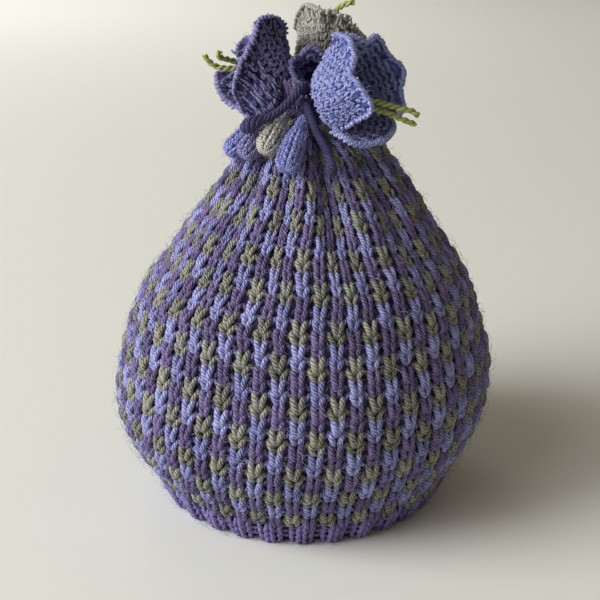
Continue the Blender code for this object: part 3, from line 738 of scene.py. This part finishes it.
for panel in range(2):
    for rib in range(PANEL_COLUMNS):
        line = LINES * (rib + 0.5)
        for row in range(HEM_ROWS):
            top = HEM_FOOT + (row + 1) * HEM_ROW + rng.normal(0.0, 0.2)
            tone = rng.uniform(0.2, 0.9)
            for mirror in (-1, 1):
                lean = (HEM_LEAN if rib % 2 == 0 else -HEM_LEAN) + 0.35 * mirror
                across = (lean + mirror * HEM_V[:, 0] * HEM_SPREAD) / FULL_PITCH * LINES
                level = np.interp(top - HEM_V[:, 1], heights, levels)
                crest = 0.5 - 0.5 * np.cos(math.pi * (line + across) / LINES)
                out = HEM_FURROW + HEM_CREST * crest + HEM_V[:, 2]
                laid = on_cloth(panel, level, line + across, out)
                hem_strands.append(strand(*laid, HEM_V[:, 3], 6, tone))
            if rib % 2 == 0:
                across = HEM_BAR[:, 0] / FULL_PITCH * LINES
                level = np.interp(top - 1.0 - HEM_BAR[:, 1], heights, levels)
                laid = on_cloth(panel, level, LINES * rib + across, HEM_BAR[:, 2])
                # the bars lie in the furrow, so their tone is darkened as painted shade
                hem_strands.append(strand(*laid, HEM_BAR[:, 3], 6, tone * 0.6))
hem = join_strands("hem_ribs", hem_strands, hem_wool)

# Above the tie the gathered edge stands up in a small uneven frill of purple wool, highest between the
# two front flowers. It is the row of loops that the last round of knitting ends in.
FRILL_LOOPS = 30
FRILL_RADIUS = 10.4
FRILL_FOOT = 189.0
# degrees round, up
FRILL_HEIGHT = np.array(
    (
        (0.0, 194.5), (180.0, 195.0), (198.0, 198.5), (225.0, 203.4), (245.0, 204.6), (262.0, 200.5),
        (290.0, 195.5), (360.0, 194.5),
    )
)
# share of a loop across, up, out, half thickness
FRILL_LOOP = np.array(
    (
        (-0.42, 0.0, -1.0, 0.9), (-0.45, 0.35, 0.2, 1.15), (-0.34, 0.8, 1.0, 1.2), (0.0, 1.0, 1.5, 1.25),
        (0.34, 0.8, 1.0, 1.2), (0.45, 0.35, 0.2, 1.15), (0.42, 0.0, -1.0, 0.9),
    )
)
paths = []
for loop in range(FRILL_LOOPS):
    degrees = (loop + FRILL_LOOP[:, 0] + rng.normal(0.0, 0.06)) * 360.0 / FRILL_LOOPS
    top = smooth_table(FRILL_HEIGHT, 1, degrees[3] % 360.0) + rng.normal(0.0, 0.4)
    reach = FRILL_RADIUS + FRILL_LOOP[:, 2]
    turned = np.radians(degrees)
    up = FRILL_FOOT + (top - FRILL_FOOT) * FRILL_LOOP[:, 1]
    paths.append(np.stack([reach * np.cos(turned), reach * np.sin(turned), up], axis=1))
paths = np.array(paths)
outward = unit(paths * (1.0, 1.0, 0.0))
radii = np.broadcast_to(FRILL_LOOP[:, 3], (FRILL_LOOPS, len(FRILL_LOOP)))
loops = sweep(paths, outward, radii, 6, rng.uniform(0.2, 1.0, FRILL_LOOPS))
frill = join_strands("neck_frill", [loops], wools["purple"])

# Single fibres stand out of the wool all over the body, as they do on any hand-knitted thing, and blur
# its edges. They are drawn thicker than real ones, which would be too fine to show.
FIBRE = 0.07  # half thickness
FIBRE_REACH = 5.5
FIBRES_ON_PANEL = 4300
TABLE_GAP = 0.3  # no fibre goes into the table


def fibre_wool(name, deep, light):
    """Single fibres standing out of the yarn, each its own shade."""
    surface = {"Roughness": 0.6, "IOR": 1.55, "Specular IOR Level": 0.3}
    material, tree, shader = new_material(name, surface)
    tone = add_node(tree, "ShaderNodeAttribute", {"attribute_name": "tone"}).outputs["Fac"]
    colour_between(tree, shader, deep, light, tone)
    return material


def stray_fibres(name, places, reach, material):
    """Fine fibres that leave the wool, stand off it and bend over. places are groups of spots with
    where the wool faces there."""
    spots, faces = (np.vstack(part) for part in zip(*places))
    count = len(spots)
    side = rng.normal(0.0, 1.0, (count, 3))
    side = unit(side - (side * faces).sum(axis=1, keepdims=True) * faces)
    length = reach * rng.uniform(0.4, 1.3, (count, 1))
    lift = length * rng.uniform(0.15, 0.6, (count, 1))
    bend = 0.25 * length * np.cross(side, faces) * rng.normal(0.0, 1.0, (count, 1))
    middle = spots + 0.45 * length * side + lift * faces
    tip = spots + length * side + 0.8 * lift * faces + bend
    paths = np.stack([spots, middle, tip], axis=1)
    paths[..., 2] = np.maximum(paths[..., 2], TABLE_GAP)
    radii = np.broadcast_to(FIBRE * np.array((1.0, 0.9, 0.4)), (count, 3))
    fibres = sweep(paths, faces[:, None], radii, 3, rng.uniform(0.0, 1.0, count))
    return join_strands(name, [fibres], material)


places = []
for panel in range(2):
    level = rng.uniform(1.0, 182.0, FIBRES_ON_PANEL)
    kept = np.interp(level, [0.0, 110.0, 182.0], [1.0, 0.9, 0.4])  # fewer where the cloth is drawn in
    level = level[rng.uniform(0.0, 1.0, len(level)) < kept]
    line = rng.uniform(1.0, PANEL_COLUMNS * LINES - 1.0, len(level))
    out = 0.4 + 0.9 * np.cos(math.tau * (line / LINES - 0.5))
    places.append(on_cloth(panel, level, line, out))
body_fibres = fibre_wool("stray_wool_fibres", "#4d4668", "#b9b6d8")
fibres = stray_fibres("body_fibres", places, FIBRE_REACH, body_fibres)

# The flowers are small knitted bells, split down into petals and cast off round the edge. Each stands
# on a short stalk sewn into the gathered neck. Lower petals that tuck under the rest are leaves of
# their own. The wool is thinner than the body's, and the stitches smaller.
FLOWER_CLOTH = 1.7
LEAF_STEP = 4.0  # degrees
LEAF_ROWS = 12
CUP_PROFILE = np.array(
    (
        (0.0, 0.46), (0.08, 0.76), (0.22, 0.93), (0.42, 0.99), (0.62, 1.0), (0.82, 1.0), (1.0, 1.0),
    )
)
RIM_CURL = 1.2
STITCH_WIDTH = 4.2
STITCH_ROW = 3.0
EDGE_STEP = 2.3
RIM_DROP = 0.12  # how far a leaf's edge drops for each millimetre that it leans out
STALK_SIDES = 20
STALK_RADII = (2.0, 2.5)  # at the foot and halfway
# how uneven the work is: rows and columns as shares of one, the yarn's thickness, and its shade
LEAF_ROW_UNEVEN, LEAF_COLUMN_UNEVEN, LEAF_ARM_UNEVEN = 0.14, 0.07, 0.03
LEAF_YARN_UNEVEN = (0.85, 1.15)
LEAF_SHADE_UNEVEN = 0.25
EDGE_UNEVEN = 0.14
SAG_ANGLE, SAG_HALF_WIDTH = 190.0, 50.0  # where round the cup its low wall sags, in degrees
SAG_FULL = 2.5  # height by which it sags fully
SAG_TOP, SAG_FADE = 14.0, 12.0  # height above which it doesn't, and how far below that it fades
SAG_SPREAD = 0.36  # how far the wall bulges for each millimetre that it sags
FLOWER_FIBRES = 0.24  # for each degree of a leaf and millimetre of its cup's radius
FLOWER_FIBRE_REACH = 4.0


def leaf_shape(tuck, *edge):
    """How far inside the cup a leaf lies, and its edge: angle, height, how far out it leans."""
    return tuck, np.array(edge)


FLOWERS = {
    "flower_purple_left": {
        "foot": (-7.2, 1.4, 197.0),
        "base": (-12.6, 2.8, 196.0),
        "direction": (-0.6, 0.12, 0.79),
        "cup_length": 21.0,
        "cup_radius": 14.4,
        "sag": 8.0,
        "slot": "dark_purple_wool",
        "flat": (102.0, 26.0),
        "leaves": [
            leaf_shape(
                0.0,
                (-32.0, 21.8, -0.2), (-25.0, 26.5, 1.4), (-16.0, 28.5, 2.8), (-4.0, 29.2, 4.2),
                (8.0, 27.0, 1.2), (26.0, 24.8, 0.5), (44.0, 23.2, 2.8), (56.0, 20.5, 4.8),
                (68.0, 23.2, 5.8), (80.0, 27.8, 5.0), (93.0, 30.0, 2.8), (108.0, 30.8, 1.2),
                (124.0, 28.5, 0.5), (140.0, 25.5, 0.5), (152.0, 24.0, 1.2), (164.0, 22.5, 2.0),
                (175.0, 21.0, 2.4), (185.0, 18.8, 4.2), (196.0, 16.5, 4.2), (208.0, 13.5, 3.5),
                (220.0, 9.0, 2.0), (230.0, 5.5, 1.5), (242.0, 3.4, 1.5),
            ),
            leaf_shape(
                2.2,
                (226.0, 3.4, 5.0), (240.0, 6.0, 5.0), (252.0, 10.5, 6.5), (264.0, 16.5, 7.2),
                (276.0, 21.8, 6.5), (288.0, 24.0, 5.8), (300.0, 23.2, 3.5), (312.0, 21.0, 3.5),
                (320.0, 18.8, 5.0),
            ),
        ],
    },
    "flower_lavender_right": {
        "foot": (7.9, -7.0, 197.7),
        "base": (9.7, -15.9, 194.7),
        "direction": (0.82, -0.37, 0.44),
        "cup_length": 25.0,
        "cup_radius": 16.6,
        "sag": 0.0,
        "slot": "lavender_wool",
        "flat": (118.0, 29.0),
        "leaves": [
            leaf_shape(
                0.0,
                (-56.0, 3.8, 1.2), (-48.0, 9.0, -0.2), (-40.0, 15.8, 0.5), (-36.0, 21.0, 1.2),
                (-32.0, 25.5, 2.0), (-24.0, 29.2, 2.8), (-12.0, 29.2, 2.0), (0.0, 29.2, 2.8),
                (12.0, 27.0, 1.2), (23.0, 24.8, 0.5), (33.0, 26.5, 0.5), (45.0, 28.5, 1.5),
                (57.0, 29.0, 3.5), (67.0, 27.8, 5.8), (75.0, 24.0, 7.4), (81.0, 20.5, 7.6),
                (88.0, 21.8, 6.6), (95.0, 24.2, 5.0), (101.0, 26.2, 3.2), (108.0, 27.0, 1.2),
                (116.0, 28.5, 2.0), (127.0, 30.0, 4.8), (139.0, 30.2, 6.2), (151.0, 29.4, 4.6),
                (164.0, 31.5, 2.0), (176.0, 33.0, 3.5), (188.0, 32.2, 2.0), (200.0, 30.0, 0.5),
                (212.0, 28.5, 2.8), (224.0, 28.5, 3.5), (236.0, 26.2, 2.0), (244.0, 21.8, -0.2),
            ),
            leaf_shape(
                2.2,
                (224.0, 15.0, 2.0), (232.0, 18.8, 2.8), (240.0, 22.5, 4.2), (252.0, 24.8, 5.8),
                (264.0, 24.8, 7.2), (276.0, 22.5, 8.8), (288.0, 18.0, 8.8), (300.0, 14.2, 8.8),
                (312.0, 11.2, 7.2), (320.0, 8.2, 5.0),
            ),
        ],
    },
    "flower_grey_back": {
        "foot": (5.6, 8.0, 196.4),
        "base": (8.2, 17.6, 197.0),
        "direction": (0.08, 0.34, 0.94),
        "cup_length": 28.0,
        "cup_radius": 13.0,
        "sag": 0.0,
        "slot": "grey_wool",
        "flat": (84.0, 31.0),
        "leaves": [
            leaf_shape(
                0.0,
                (-4.0, 24.8, 3.5), (12.0, 26.2, 2.0), (28.0, 27.8, 1.2), (39.0, 30.0, 2.0),
                (48.0, 30.6, 1.8), (57.0, 31.2, 0.5), (68.0, 32.2, -0.6), (80.0, 31.5, 0.6),
                (92.0, 32.2, -0.2), (108.0, 33.8, -2.0), (124.0, 35.0, -2.2), (140.0, 34.5, -2.2),
                (156.0, 33.0, -1.8), (172.0, 30.0, -1.0), (188.0, 28.0, -0.2), (204.0, 29.4, -0.2),
                (220.0, 33.0, -0.2), (236.0, 35.2, 0.5), (252.0, 36.0, 1.6), (268.0, 34.8, -0.6),
                (288.0, 33.8, -1.6), (308.0, 31.5, -1.6), (328.0, 28.5, -0.2), (342.0, 25.8, 1.6),
                (356.0, 24.8, 3.5),
            ),
        ],
    },
    "flower_purple_front": {
        "foot": (0.6, -0.6, 196.4),
        "base": (3.9, 5.8, 201.6),
        "direction": (0.04, -0.8, 0.6),
        "cup_length": 10.2,
        "cup_radius": 7.9,
        "sag": 0.0,
        "slot": "dark_purple_wool",
        "flat": (52.0, 11.5),
        "leaves": [
            leaf_shape(
                0.0,
                (-18.0, 10.5, 0.0), (18.0, 12.0, 1.0), (54.0, 10.5, 0.0), (90.0, 13.0, 1.0),
                (126.0, 10.5, 0.0), (162.0, 12.5, 1.0), (198.0, 10.5, 0.0), (234.0, 11.5, 0.5),
                (270.0, 10.5, 0.0), (306.0, 11.5, 0.5), (342.0, 10.5, 0.0),
            ),
        ],
    },
}
# share of a column across, rows down, out, half thickness
LEAF_ARM = np.array(
    (
        (0.41, -0.5, -0.6, 0.5), (0.4, 0.05, 0.38, 0.76), (0.31, 0.55, 0.9, 0.84), (0.2, 1.05, 0.72, 0.8),
        (0.11, 1.6, -0.6, 0.5),
    )
)
LEAF_PURL = np.array(
    (
        (-0.62, 0.3, -0.6, 0.7), (-0.35, 0.02, 0.25, 0.98), (0.0, -0.12, 0.5, 1.08),
        (0.35, 0.02, 0.25, 0.98), (0.62, 0.3, -0.6, 0.7),
    )
)
# along the edge, up over it, out of it, half thickness
EDGE_LOOP = np.array(
    (
        (-2.7, -0.9, 0.8, 0.62), (-1.6, -0.1, 0.75, 0.92), (-0.1, 0.45, 0.1, 1.04),
        (1.4, 0.15, -0.85, 0.94), (2.5, -0.65, -1.5, 0.62),
    )
)

flower_wools = {
    "flower_purple_left": spun_wool("dark_purple_flower_wool", "#15122e", "#a39fd6", 1.0, 3.0),
    "flower_lavender_right": spun_wool("lavender_flower_wool", "#272b6c", "#b9c2fa", 1.0, 3.0),
    "flower_grey_back": spun_wool("grey_flower_wool", "#35342d", "#d4d5cd", 1.0, 3.0),
}
flower_wools["flower_purple_front"] = flower_wools["flower_purple_left"]
# the flowers' backings are coloured dark: partly the cloth's back, partly painted shade in the gaps
# between the stitches
flower_backing = {
    "dark_purple_wool": backing_wool("dark_purple_flower_backing", "#17142d", "#454072"),
    "lavender_wool": backing_wool("lavender_flower_backing", "#24285a", "#5c64a8"),
    "grey_wool": backing_wool("grey_flower_backing", "#403f38", "#8a897f"),
}
flower_fibres = {
    "dark_purple_wool": fibre_wool("dark_purple_fibres", "#37335f", "#8f8bc0"),
    "lavender_wool": fibre_wool("lavender_fibres", "#5c62a8", "#c3c8f6"),
    "grey_wool": fibre_wool("grey_fibres", "#66665e", "#d0d0c8"),
}


def leaf_point(flower, leaf, angle, height, inset):
    """Points of a leaf of a flower, at angles round it and heights along it."""
    tuck, edge = leaf
    sag, cup_length = flower["sag"], flower["cup_length"]
    axis = unit(np.array(flower["direction"]))
    side = unit(np.cross(axis, (0.0, 0.0, 1.0)))
    angle, height = np.broadcast_arrays(np.asarray(angle, float), np.asarray(height, float))
    within = np.clip(angle, edge[0, 0], edge[-1, 0])
    top, out = smooth_table(edge, 1, within), smooth_table(edge, 2, within)
    share = np.clip(height / top, 0.0, 1.0)
    width = smooth_table(CUP_PROFILE, 1, np.clip(height / cup_length, 0.0, 1.0))
    curl = RIM_CURL * ramp(share, 0.8, 1.0)
    leaning = out * ramp(share, 0.2, 1.0)
    radius = flower["cup_radius"] * width + leaning + curl - inset - tuck * ramp(height, 0.0, 5.0)
    slack = np.clip(1.0 - ((angle - SAG_ANGLE) / SAG_HALF_WIDTH) ** 2, 0.0, 1.0)
    slack = slack * ramp(height, 0.0, SAG_FULL) * ramp(SAG_TOP - height, 0.0, SAG_FADE)
    along = np.maximum(height, 0.5 * inset) - RIM_DROP * out * share - sag * slack
    radius = radius + SAG_SPREAD * sag * slack
    turned = np.radians(angle)
    local = np.stack([radius * np.cos(turned), radius * np.sin(turned), along], axis=-1)
    return local @ np.array((side, np.cross(side, axis), axis)) + np.array(flower["base"])


def on_leaf(flower, leaf, angle, height, out, inside=False):
    """Points on a leaf, lifted off it, and where it faces there."""
    inset = FLOWER_CLOTH if inside else 0.0
    spot = leaf_point(flower, leaf, angle, height, inset)
    right = leaf_point(flower, leaf, angle + 1.0, height, inset)
    right = right - leaf_point(flower, leaf, angle - 1.0, height, inset)
    up = spot - leaf_point(flower, leaf, angle, height - 0.8, inset)
    faces = unit(np.cross(right, up)) * (-1.0 if inside else 1.0)
    return spot + faces * np.asarray(out)[..., None], faces


def leaf_shell(flower, leaf):
    """A leaf as a closed plate with an outer and an inner side."""
    edge = leaf[1]
    count = int((edge[-1, 0] - edge[0, 0]) / LEAF_STEP) + 1
    angles = np.linspace(edge[0, 0], edge[-1, 0], count)
    tops = smooth_table(edge, 1, angles)
    closed = edge[-1, 0] - edge[0, 0] >= 359.0
    shares = np.linspace(0.0, 1.0, LEAF_ROWS)
    rows = [leaf_point(flower, leaf, angles, share * tops, 0.0) for share in shares]
    rows += [leaf_point(flower, leaf, angles, share * tops, FLOWER_CLOTH) for share in shares[::-1]]
    width = count - 1 if closed else count
    verts = np.vstack([row[:width] for row in rows])
    faces = []
    for row in range(len(rows)):
        low, high = row * width, (row + 1) % len(rows) * width
        for step in range(width if closed else width - 1):
            after = (step + 1) % width
            faces.append((low + step, low + after, high + after, high + step))
    if not closed:
        for step in (0, width - 1):
            for row in range(LEAF_ROWS - 1):
                back_row = len(rows) - 1 - row
                corner = (row, row + 1, back_row - 1, back_row)
                faces.append(tuple(r * width + step for r in (corner if step else corner[::-1])))
    return verts, faces


def closed_tube(rings, low_end, high_end):
    """A closed tube through rings of points, with a point in the middle of each end."""
    sides = len(rings[0])
    last = (len(rings) - 1) * sides
    verts = np.vstack([*rings, low_end[None], high_end[None]])
    faces = []
    for row in range(0, last, sides):
        for step in range(sides):
            one, two = row + step, row + (step + 1) % sides
            faces.append((one, two, two + sides, one + sides))
    for step in range(sides):
        after = (step + 1) % sides
        faces.append((after, step, len(verts) - 2))
        faces.append((last + step, last + after, len(verts) - 1))
    return verts, faces


def stalk_shell(foot, base, reach, rim):
    """A closed stalk from the neck to the flower's base, widening to the cup's bottom."""
    axis = unit(base - foot)
    side = unit(np.cross(axis, (0.3, 0.2, 0.9)))
    turns = math.tau * np.arange(STALK_SIDES) / STALK_SIDES
    circle = np.stack([np.cos(turns), np.sin(turns)], axis=1) @ np.stack([side, np.cross(axis, side)])
    middle = 0.55 * foot + 0.45 * base
    places = zip((foot, middle, base, reach), (*STALK_RADII, 0.8 * rim, 0.9 * rim))
    return closed_tube([place + radius * circle for place, radius in places], foot, reach)


def leaf_stitches(flower, leaf):
    """Knitted stitches all over a leaf, and the purl bumps that show inside it."""
    edge, cup_length = leaf[1], flower["cup_length"]
    wide = math.radians(edge[-1, 0] - edge[0, 0]) * flower["cup_radius"]
    columns = max(3, round(wide / STITCH_WIDTH))
    pitch = (edge[-1, 0] - edge[0, 0]) / columns
    strands = []
    for column in range(columns):
        centre = edge[0, 0] + pitch * (column + 0.5)
        for row in range(int(float(smooth_table(edge, 1, centre)) / STITCH_ROW)):
            top = (row + 1.0 + rng.normal(0.0, LEAF_ROW_UNEVEN)) * STITCH_ROW
            # the stitches shrink where the cup narrows to its foot
            shrink = 0.5 + 0.5 * float(smooth_table(CUP_PROFILE, 1, min(1.0, (top - 1.2) / cup_length)))
            shift = pitch * rng.normal(0.0, LEAF_COLUMN_UNEVEN)
            tone = rng.uniform(0.0, 1.0)
            for mirror in (-1, 1):
                across = LEAF_ARM[:, 0] + rng.normal(0.0, LEAF_ARM_UNEVEN)
                angle = centre + shift + mirror * pitch * across
                along = np.maximum(0.3, top - LEAF_ARM[:, 1] * STITCH_ROW)
                laid = on_leaf(flower, leaf, angle, along, LEAF_ARM[:, 2])
                radii = LEAF_ARM[:, 3] * shrink * rng.uniform(*LEAF_YARN_UNEVEN)
                # one arm of each stitch is painted lighter and the other darker: painted light and shade
                shade = tone + 0.14 * mirror + rng.normal(0.0, LEAF_SHADE_UNEVEN)
                strands.append(strand(*laid, radii, 5, np.clip(shade, 0.0, 1.0)))
            if row > 1:
                angle = centre + pitch * LEAF_PURL[:, 0]
                along = top - (0.5 + LEAF_PURL[:, 1]) * STITCH_ROW
                laid = on_leaf(flower, leaf, angle, along, LEAF_PURL[:, 2], inside=True)
                # the purl bumps lie inside the cup, so their tone is darkened as painted shade
                strands.append(strand(*laid, LEAF_PURL[:, 3], 5, tone * 0.4))
    return strands


def cast_off_edge(flower, leaf):
    """The row of slanted loops that a leaf's edge is cast off with."""
    edge = leaf[1]
    angles = np.linspace(edge[0, 0], edge[-1, 0], 500)
    rim, facing = on_leaf(flower, leaf, angles, smooth_table(edge, 1, angles), np.zeros(500))
    along = distance_along(rim)
    ahead = unit(np.gradient(rim, axis=0))
    ahead_by, over_by, out_by, half = np.split(EDGE_LOOP, 4, axis=1)
    strands = []
    for at in np.arange(0.5, along[-1], EDGE_STEP):
        k = int(np.searchsorted(along, at))
        over = unit(np.cross(facing[k], ahead[k]))
        path = rim[k] + ahead_by * ahead[k] + over_by * over + out_by * facing[k]
        path = path + rng.normal(0.0, EDGE_UNEVEN, 3)
        radii = half[:, 0] * rng.uniform(0.85, 1.1)
        strands.append(strand(path, unit(facing[k] + 0.7 * over), radii, 6, rng.uniform(0.2, 0.85)))
    return strands


for name, flower in FLOWERS.items():
    slot, flat, leaves = flower["slot"], flower["flat"], flower["leaves"]
    foot, base = np.array(flower["foot"]), np.array(flower["base"])
    reach = base + 0.1 * flower["cup_length"] * unit(np.array(flower["direction"]))
    parts = [leaf_shell(flower, leaf) for leaf in leaves]
    parts.append(stalk_shell(foot, base, reach, 0.4 * flower["cup_radius"]))
    cloth_piece = plain_object(name + "_cloth", parts, flower_backing[slot])
    strands = []
    for leaf in leaves:
        strands += leaf_stitches(flower, leaf) + cast_off_edge(flower, leaf)
    stitches = join_strands(name + "_stitches", strands, flower_wools[name])
    places = []
    for leaf in leaves:
        edge = leaf[1]
        count = int(FLOWER_FIBRES * (edge[-1, 0] - edge[0, 0]) * flower["cup_radius"])
        angle = rng.uniform(edge[0, 0], edge[-1, 0], count)
        height = smooth_table(edge, 1, angle) * (1.0 - rng.uniform(0.0, 1.0, count) ** 1.6)
        places.append(on_leaf(flower, leaf, angle, height, np.full(count, 0.6)))
    fibres = stray_fibres(name + "_fibres", places, FLOWER_FIBRE_REACH, flower_fibres[slot])
    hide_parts(name)

# The buds are little knitted bobbles, stuffed with a scrap of wool and hung from the neck on a stalk.
# Two are lavender, one grey and one purple, and all hang in front, to the left of the knot.
# start, end, radius at the start, radius at the end, slot
BUDS = {
    "bud_grey": ((-8.0, -16.6, 190.6), (-16.9, -33.0, 177.2), 2.0, 4.8, "grey_wool"),
    "bud_lavender": ((0.2, -18.9, 190.0), (-7.6, -42.2, 171.4), 1.9, 4.8, "lavender_wool"),
    "bud_lavender_left": ((-17.2, -7.0, 187.0), (-34.4, -13.0, 171.4), 2.0, 4.2, "lavender_wool"),
    "bud_purple": ((-13.8, -12.6, 187.4), (-26.6, -26.0, 173.4), 2.0, 4.6, "purple_wool"),
}
BUD_COLUMNS = 7
BUD_ROW = 2.9
BUD_SIDES = 24
BUD_SHRINK = 0.75  # the stuffed core lies this far under the bud's own radius
BUD_FIBRES = 260
BUD_FIBRE_REACH = 3.5
bud_wools = {
    "grey_wool": spun_wool("grey_bud_wool", "#3c3b36", "#d6d7d2", 1.0, 3.0),
    "lavender_wool": spun_wool("lavender_bud_wool", "#2c2f6e", "#a4acee", 1.0, 3.0),
    "purple_wool": flower_wools["flower_purple_left"],
}


def bud_point(bud, angle, along, out):
    """Points on a bud, along millimetres from its start, and where its side faces there."""
    low, high = np.array(bud[0]), np.array(bud[1])
    thin, thick = bud[2:4]
    length = float(np.linalg.norm(high - low))
    axis = (high - low) / length
    side = unit(np.cross(axis, (0.0, 0.0, 1.0)))
    upper = np.cross(side, axis)
    turn = np.radians(angle)
    along = np.clip(along, 0.0, length)
    # a slim stalk that widens to the bobble, and the bobble's round end
    places = [0.0, 0.22 * length, 0.5 * length, length - thick]
    stalk = np.interp(along, places, [0.8 * thin, thin, 0.93 * thick, thick])
    into = np.maximum(0.0, along - (length - thick)) / thick
    radius = stalk * np.sqrt(np.maximum(0.0, 1.0 - into**2))
    away = np.cos(turn)[..., None] * side + np.sin(turn)[..., None] * upper
    faces = unit(away + (into * 1.2)[..., None] * axis)
    spots = low + along[..., None] * axis + radius[..., None] * away
    return spots + faces * np.asarray(out)[..., None], faces


for name, bud in BUDS.items():
    start, end, _, thick, slot = bud
    length = float(np.linalg.norm(np.array(end) - np.array(start)))
    angles = 360.0 * np.arange(BUD_SIDES) / BUD_SIDES
    under = np.full(BUD_SIDES, -BUD_SHRINK)
    round_end = length - thick * np.linspace(0.8, 0.03, 8)
    stations = np.concatenate([np.linspace(0.0, length - thick, 12), round_end])
    rings = [bud_point(bud, angles, np.full(BUD_SIDES, station), under)[0] for station in stations]
    core_shell = closed_tube(rings, rings[0].mean(axis=0), rings[-1].mean(axis=0))
    core = plain_object(name + "_stuffed", [core_shell], bud_wools[slot])
    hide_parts(name)
    strands = []
    rows = int(length / BUD_ROW)
    for row in range(rows):
        for column in range(BUD_COLUMNS):
            centre = 360.0 * (column + rng.normal(0.0, 0.05)) / BUD_COLUMNS
            low_edge = (row + 1.15 + rng.normal(0.0, 0.05)) * length / rows
            tone = rng.uniform(0.0, 1.0)
            size = np.interp(low_edge, [0.0, 0.5 * length], [0.6, 1.05])
            for mirror in (-1, 1):
                angle = centre + mirror * 360.0 * LEAF_ARM[:, 0] / BUD_COLUMNS
                along = low_edge - LEAF_ARM[::-1, 1] * length / rows
                laid = bud_point(bud, angle, along, LEAF_ARM[:, 2] - 0.5)
                # one arm of each stitch is painted lighter and the other darker: painted light and shade
                shade = np.clip(tone + 0.15 * mirror, 0.0, 1.0)
                strands.append(strand(*laid, LEAF_ARM[:, 3] * size, 5, shade))
    stitches = join_strands(name + "_stitches", strands, bud_wools[slot])
    angles = rng.uniform(0.0, 360.0, BUD_FIBRES)
    along = length * rng.uniform(0.1, 1.0, BUD_FIBRES)
    places = [bud_point(bud, angles, along, np.full(BUD_FIBRES, 0.3))]
    fibre_kind = flower_fibres["dark_purple_wool" if slot == "purple_wool" else slot]
    fibres = stray_fibres(name + "_fibres", places, BUD_FIBRE_REACH, fibre_kind)

# The cosy stands on a plain pale table, painted and matt. Soft daylight comes from a window on the
# left, a smaller window behind brightens the table's far side, and the room's own light is warm.
TABLE = 12.0  # half its width, in metres
corners = [(-TABLE, -TABLE, 0.0), (TABLE, -TABLE, 0.0), (TABLE, TABLE, 0.0), (-TABLE, TABLE, 0.0)]
table_mesh = bpy.data.meshes.new("table_top")
table_mesh.from_pydata(corners, [], [(0, 1, 2, 3)])
table_paint = {"Base Color": linear("#e2e5e0"), "Roughness": 0.7}
table_mesh.materials.append(new_material("matt_painted_table", table_paint)[0])
table = bpy.data.objects.new("table_top", table_mesh)
bpy.context.collection.objects.link(table)


def place_light(name, kind, power, place, target):
    """A light at a place in metres, turned to its target."""
    light = bpy.data.lights.new(name, kind)
    light.energy = power
    lamp = bpy.data.objects.new(name, light)
    bpy.context.collection.objects.link(lamp)
    lamp.location = place
    lamp.rotation_euler = (Vector(target) - Vector(place)).to_track_quat("-Z", "Y").to_euler()
    return light


window = place_light("window", "AREA", 43.0, (-1.75, -0.62, 1.1), (0.0, 0.0, 0.1))
far_window = place_light("window_behind", "AREA", 8.5, (-0.8, 2.1, 1.7), (-0.8, 1.9, 0.0))
for light, size in ((window, 1.5), (far_window, 1.0)):
    light.shape = "DISK"
    light.size = size
    light.color = linear("#fffdfa")[:3]
far_window.spread = math.radians(105.0)
daylight = place_light("daylight", "SUN", 1.45, (0.0, 0.0, 0.0), (0.80, 0.36, -0.52))
daylight.angle = math.radians(60.0)
world = bpy.data.worlds.new("room_light")
world.use_nodes = True
world.node_tree.nodes["Background"].inputs[0].default_value = linear("#f0dfc6")
world.node_tree.nodes["Background"].inputs[1].default_value = 0.25
bpy.context.scene.world = world
bpy.context.scene.view_settings.view_transform = "Standard"
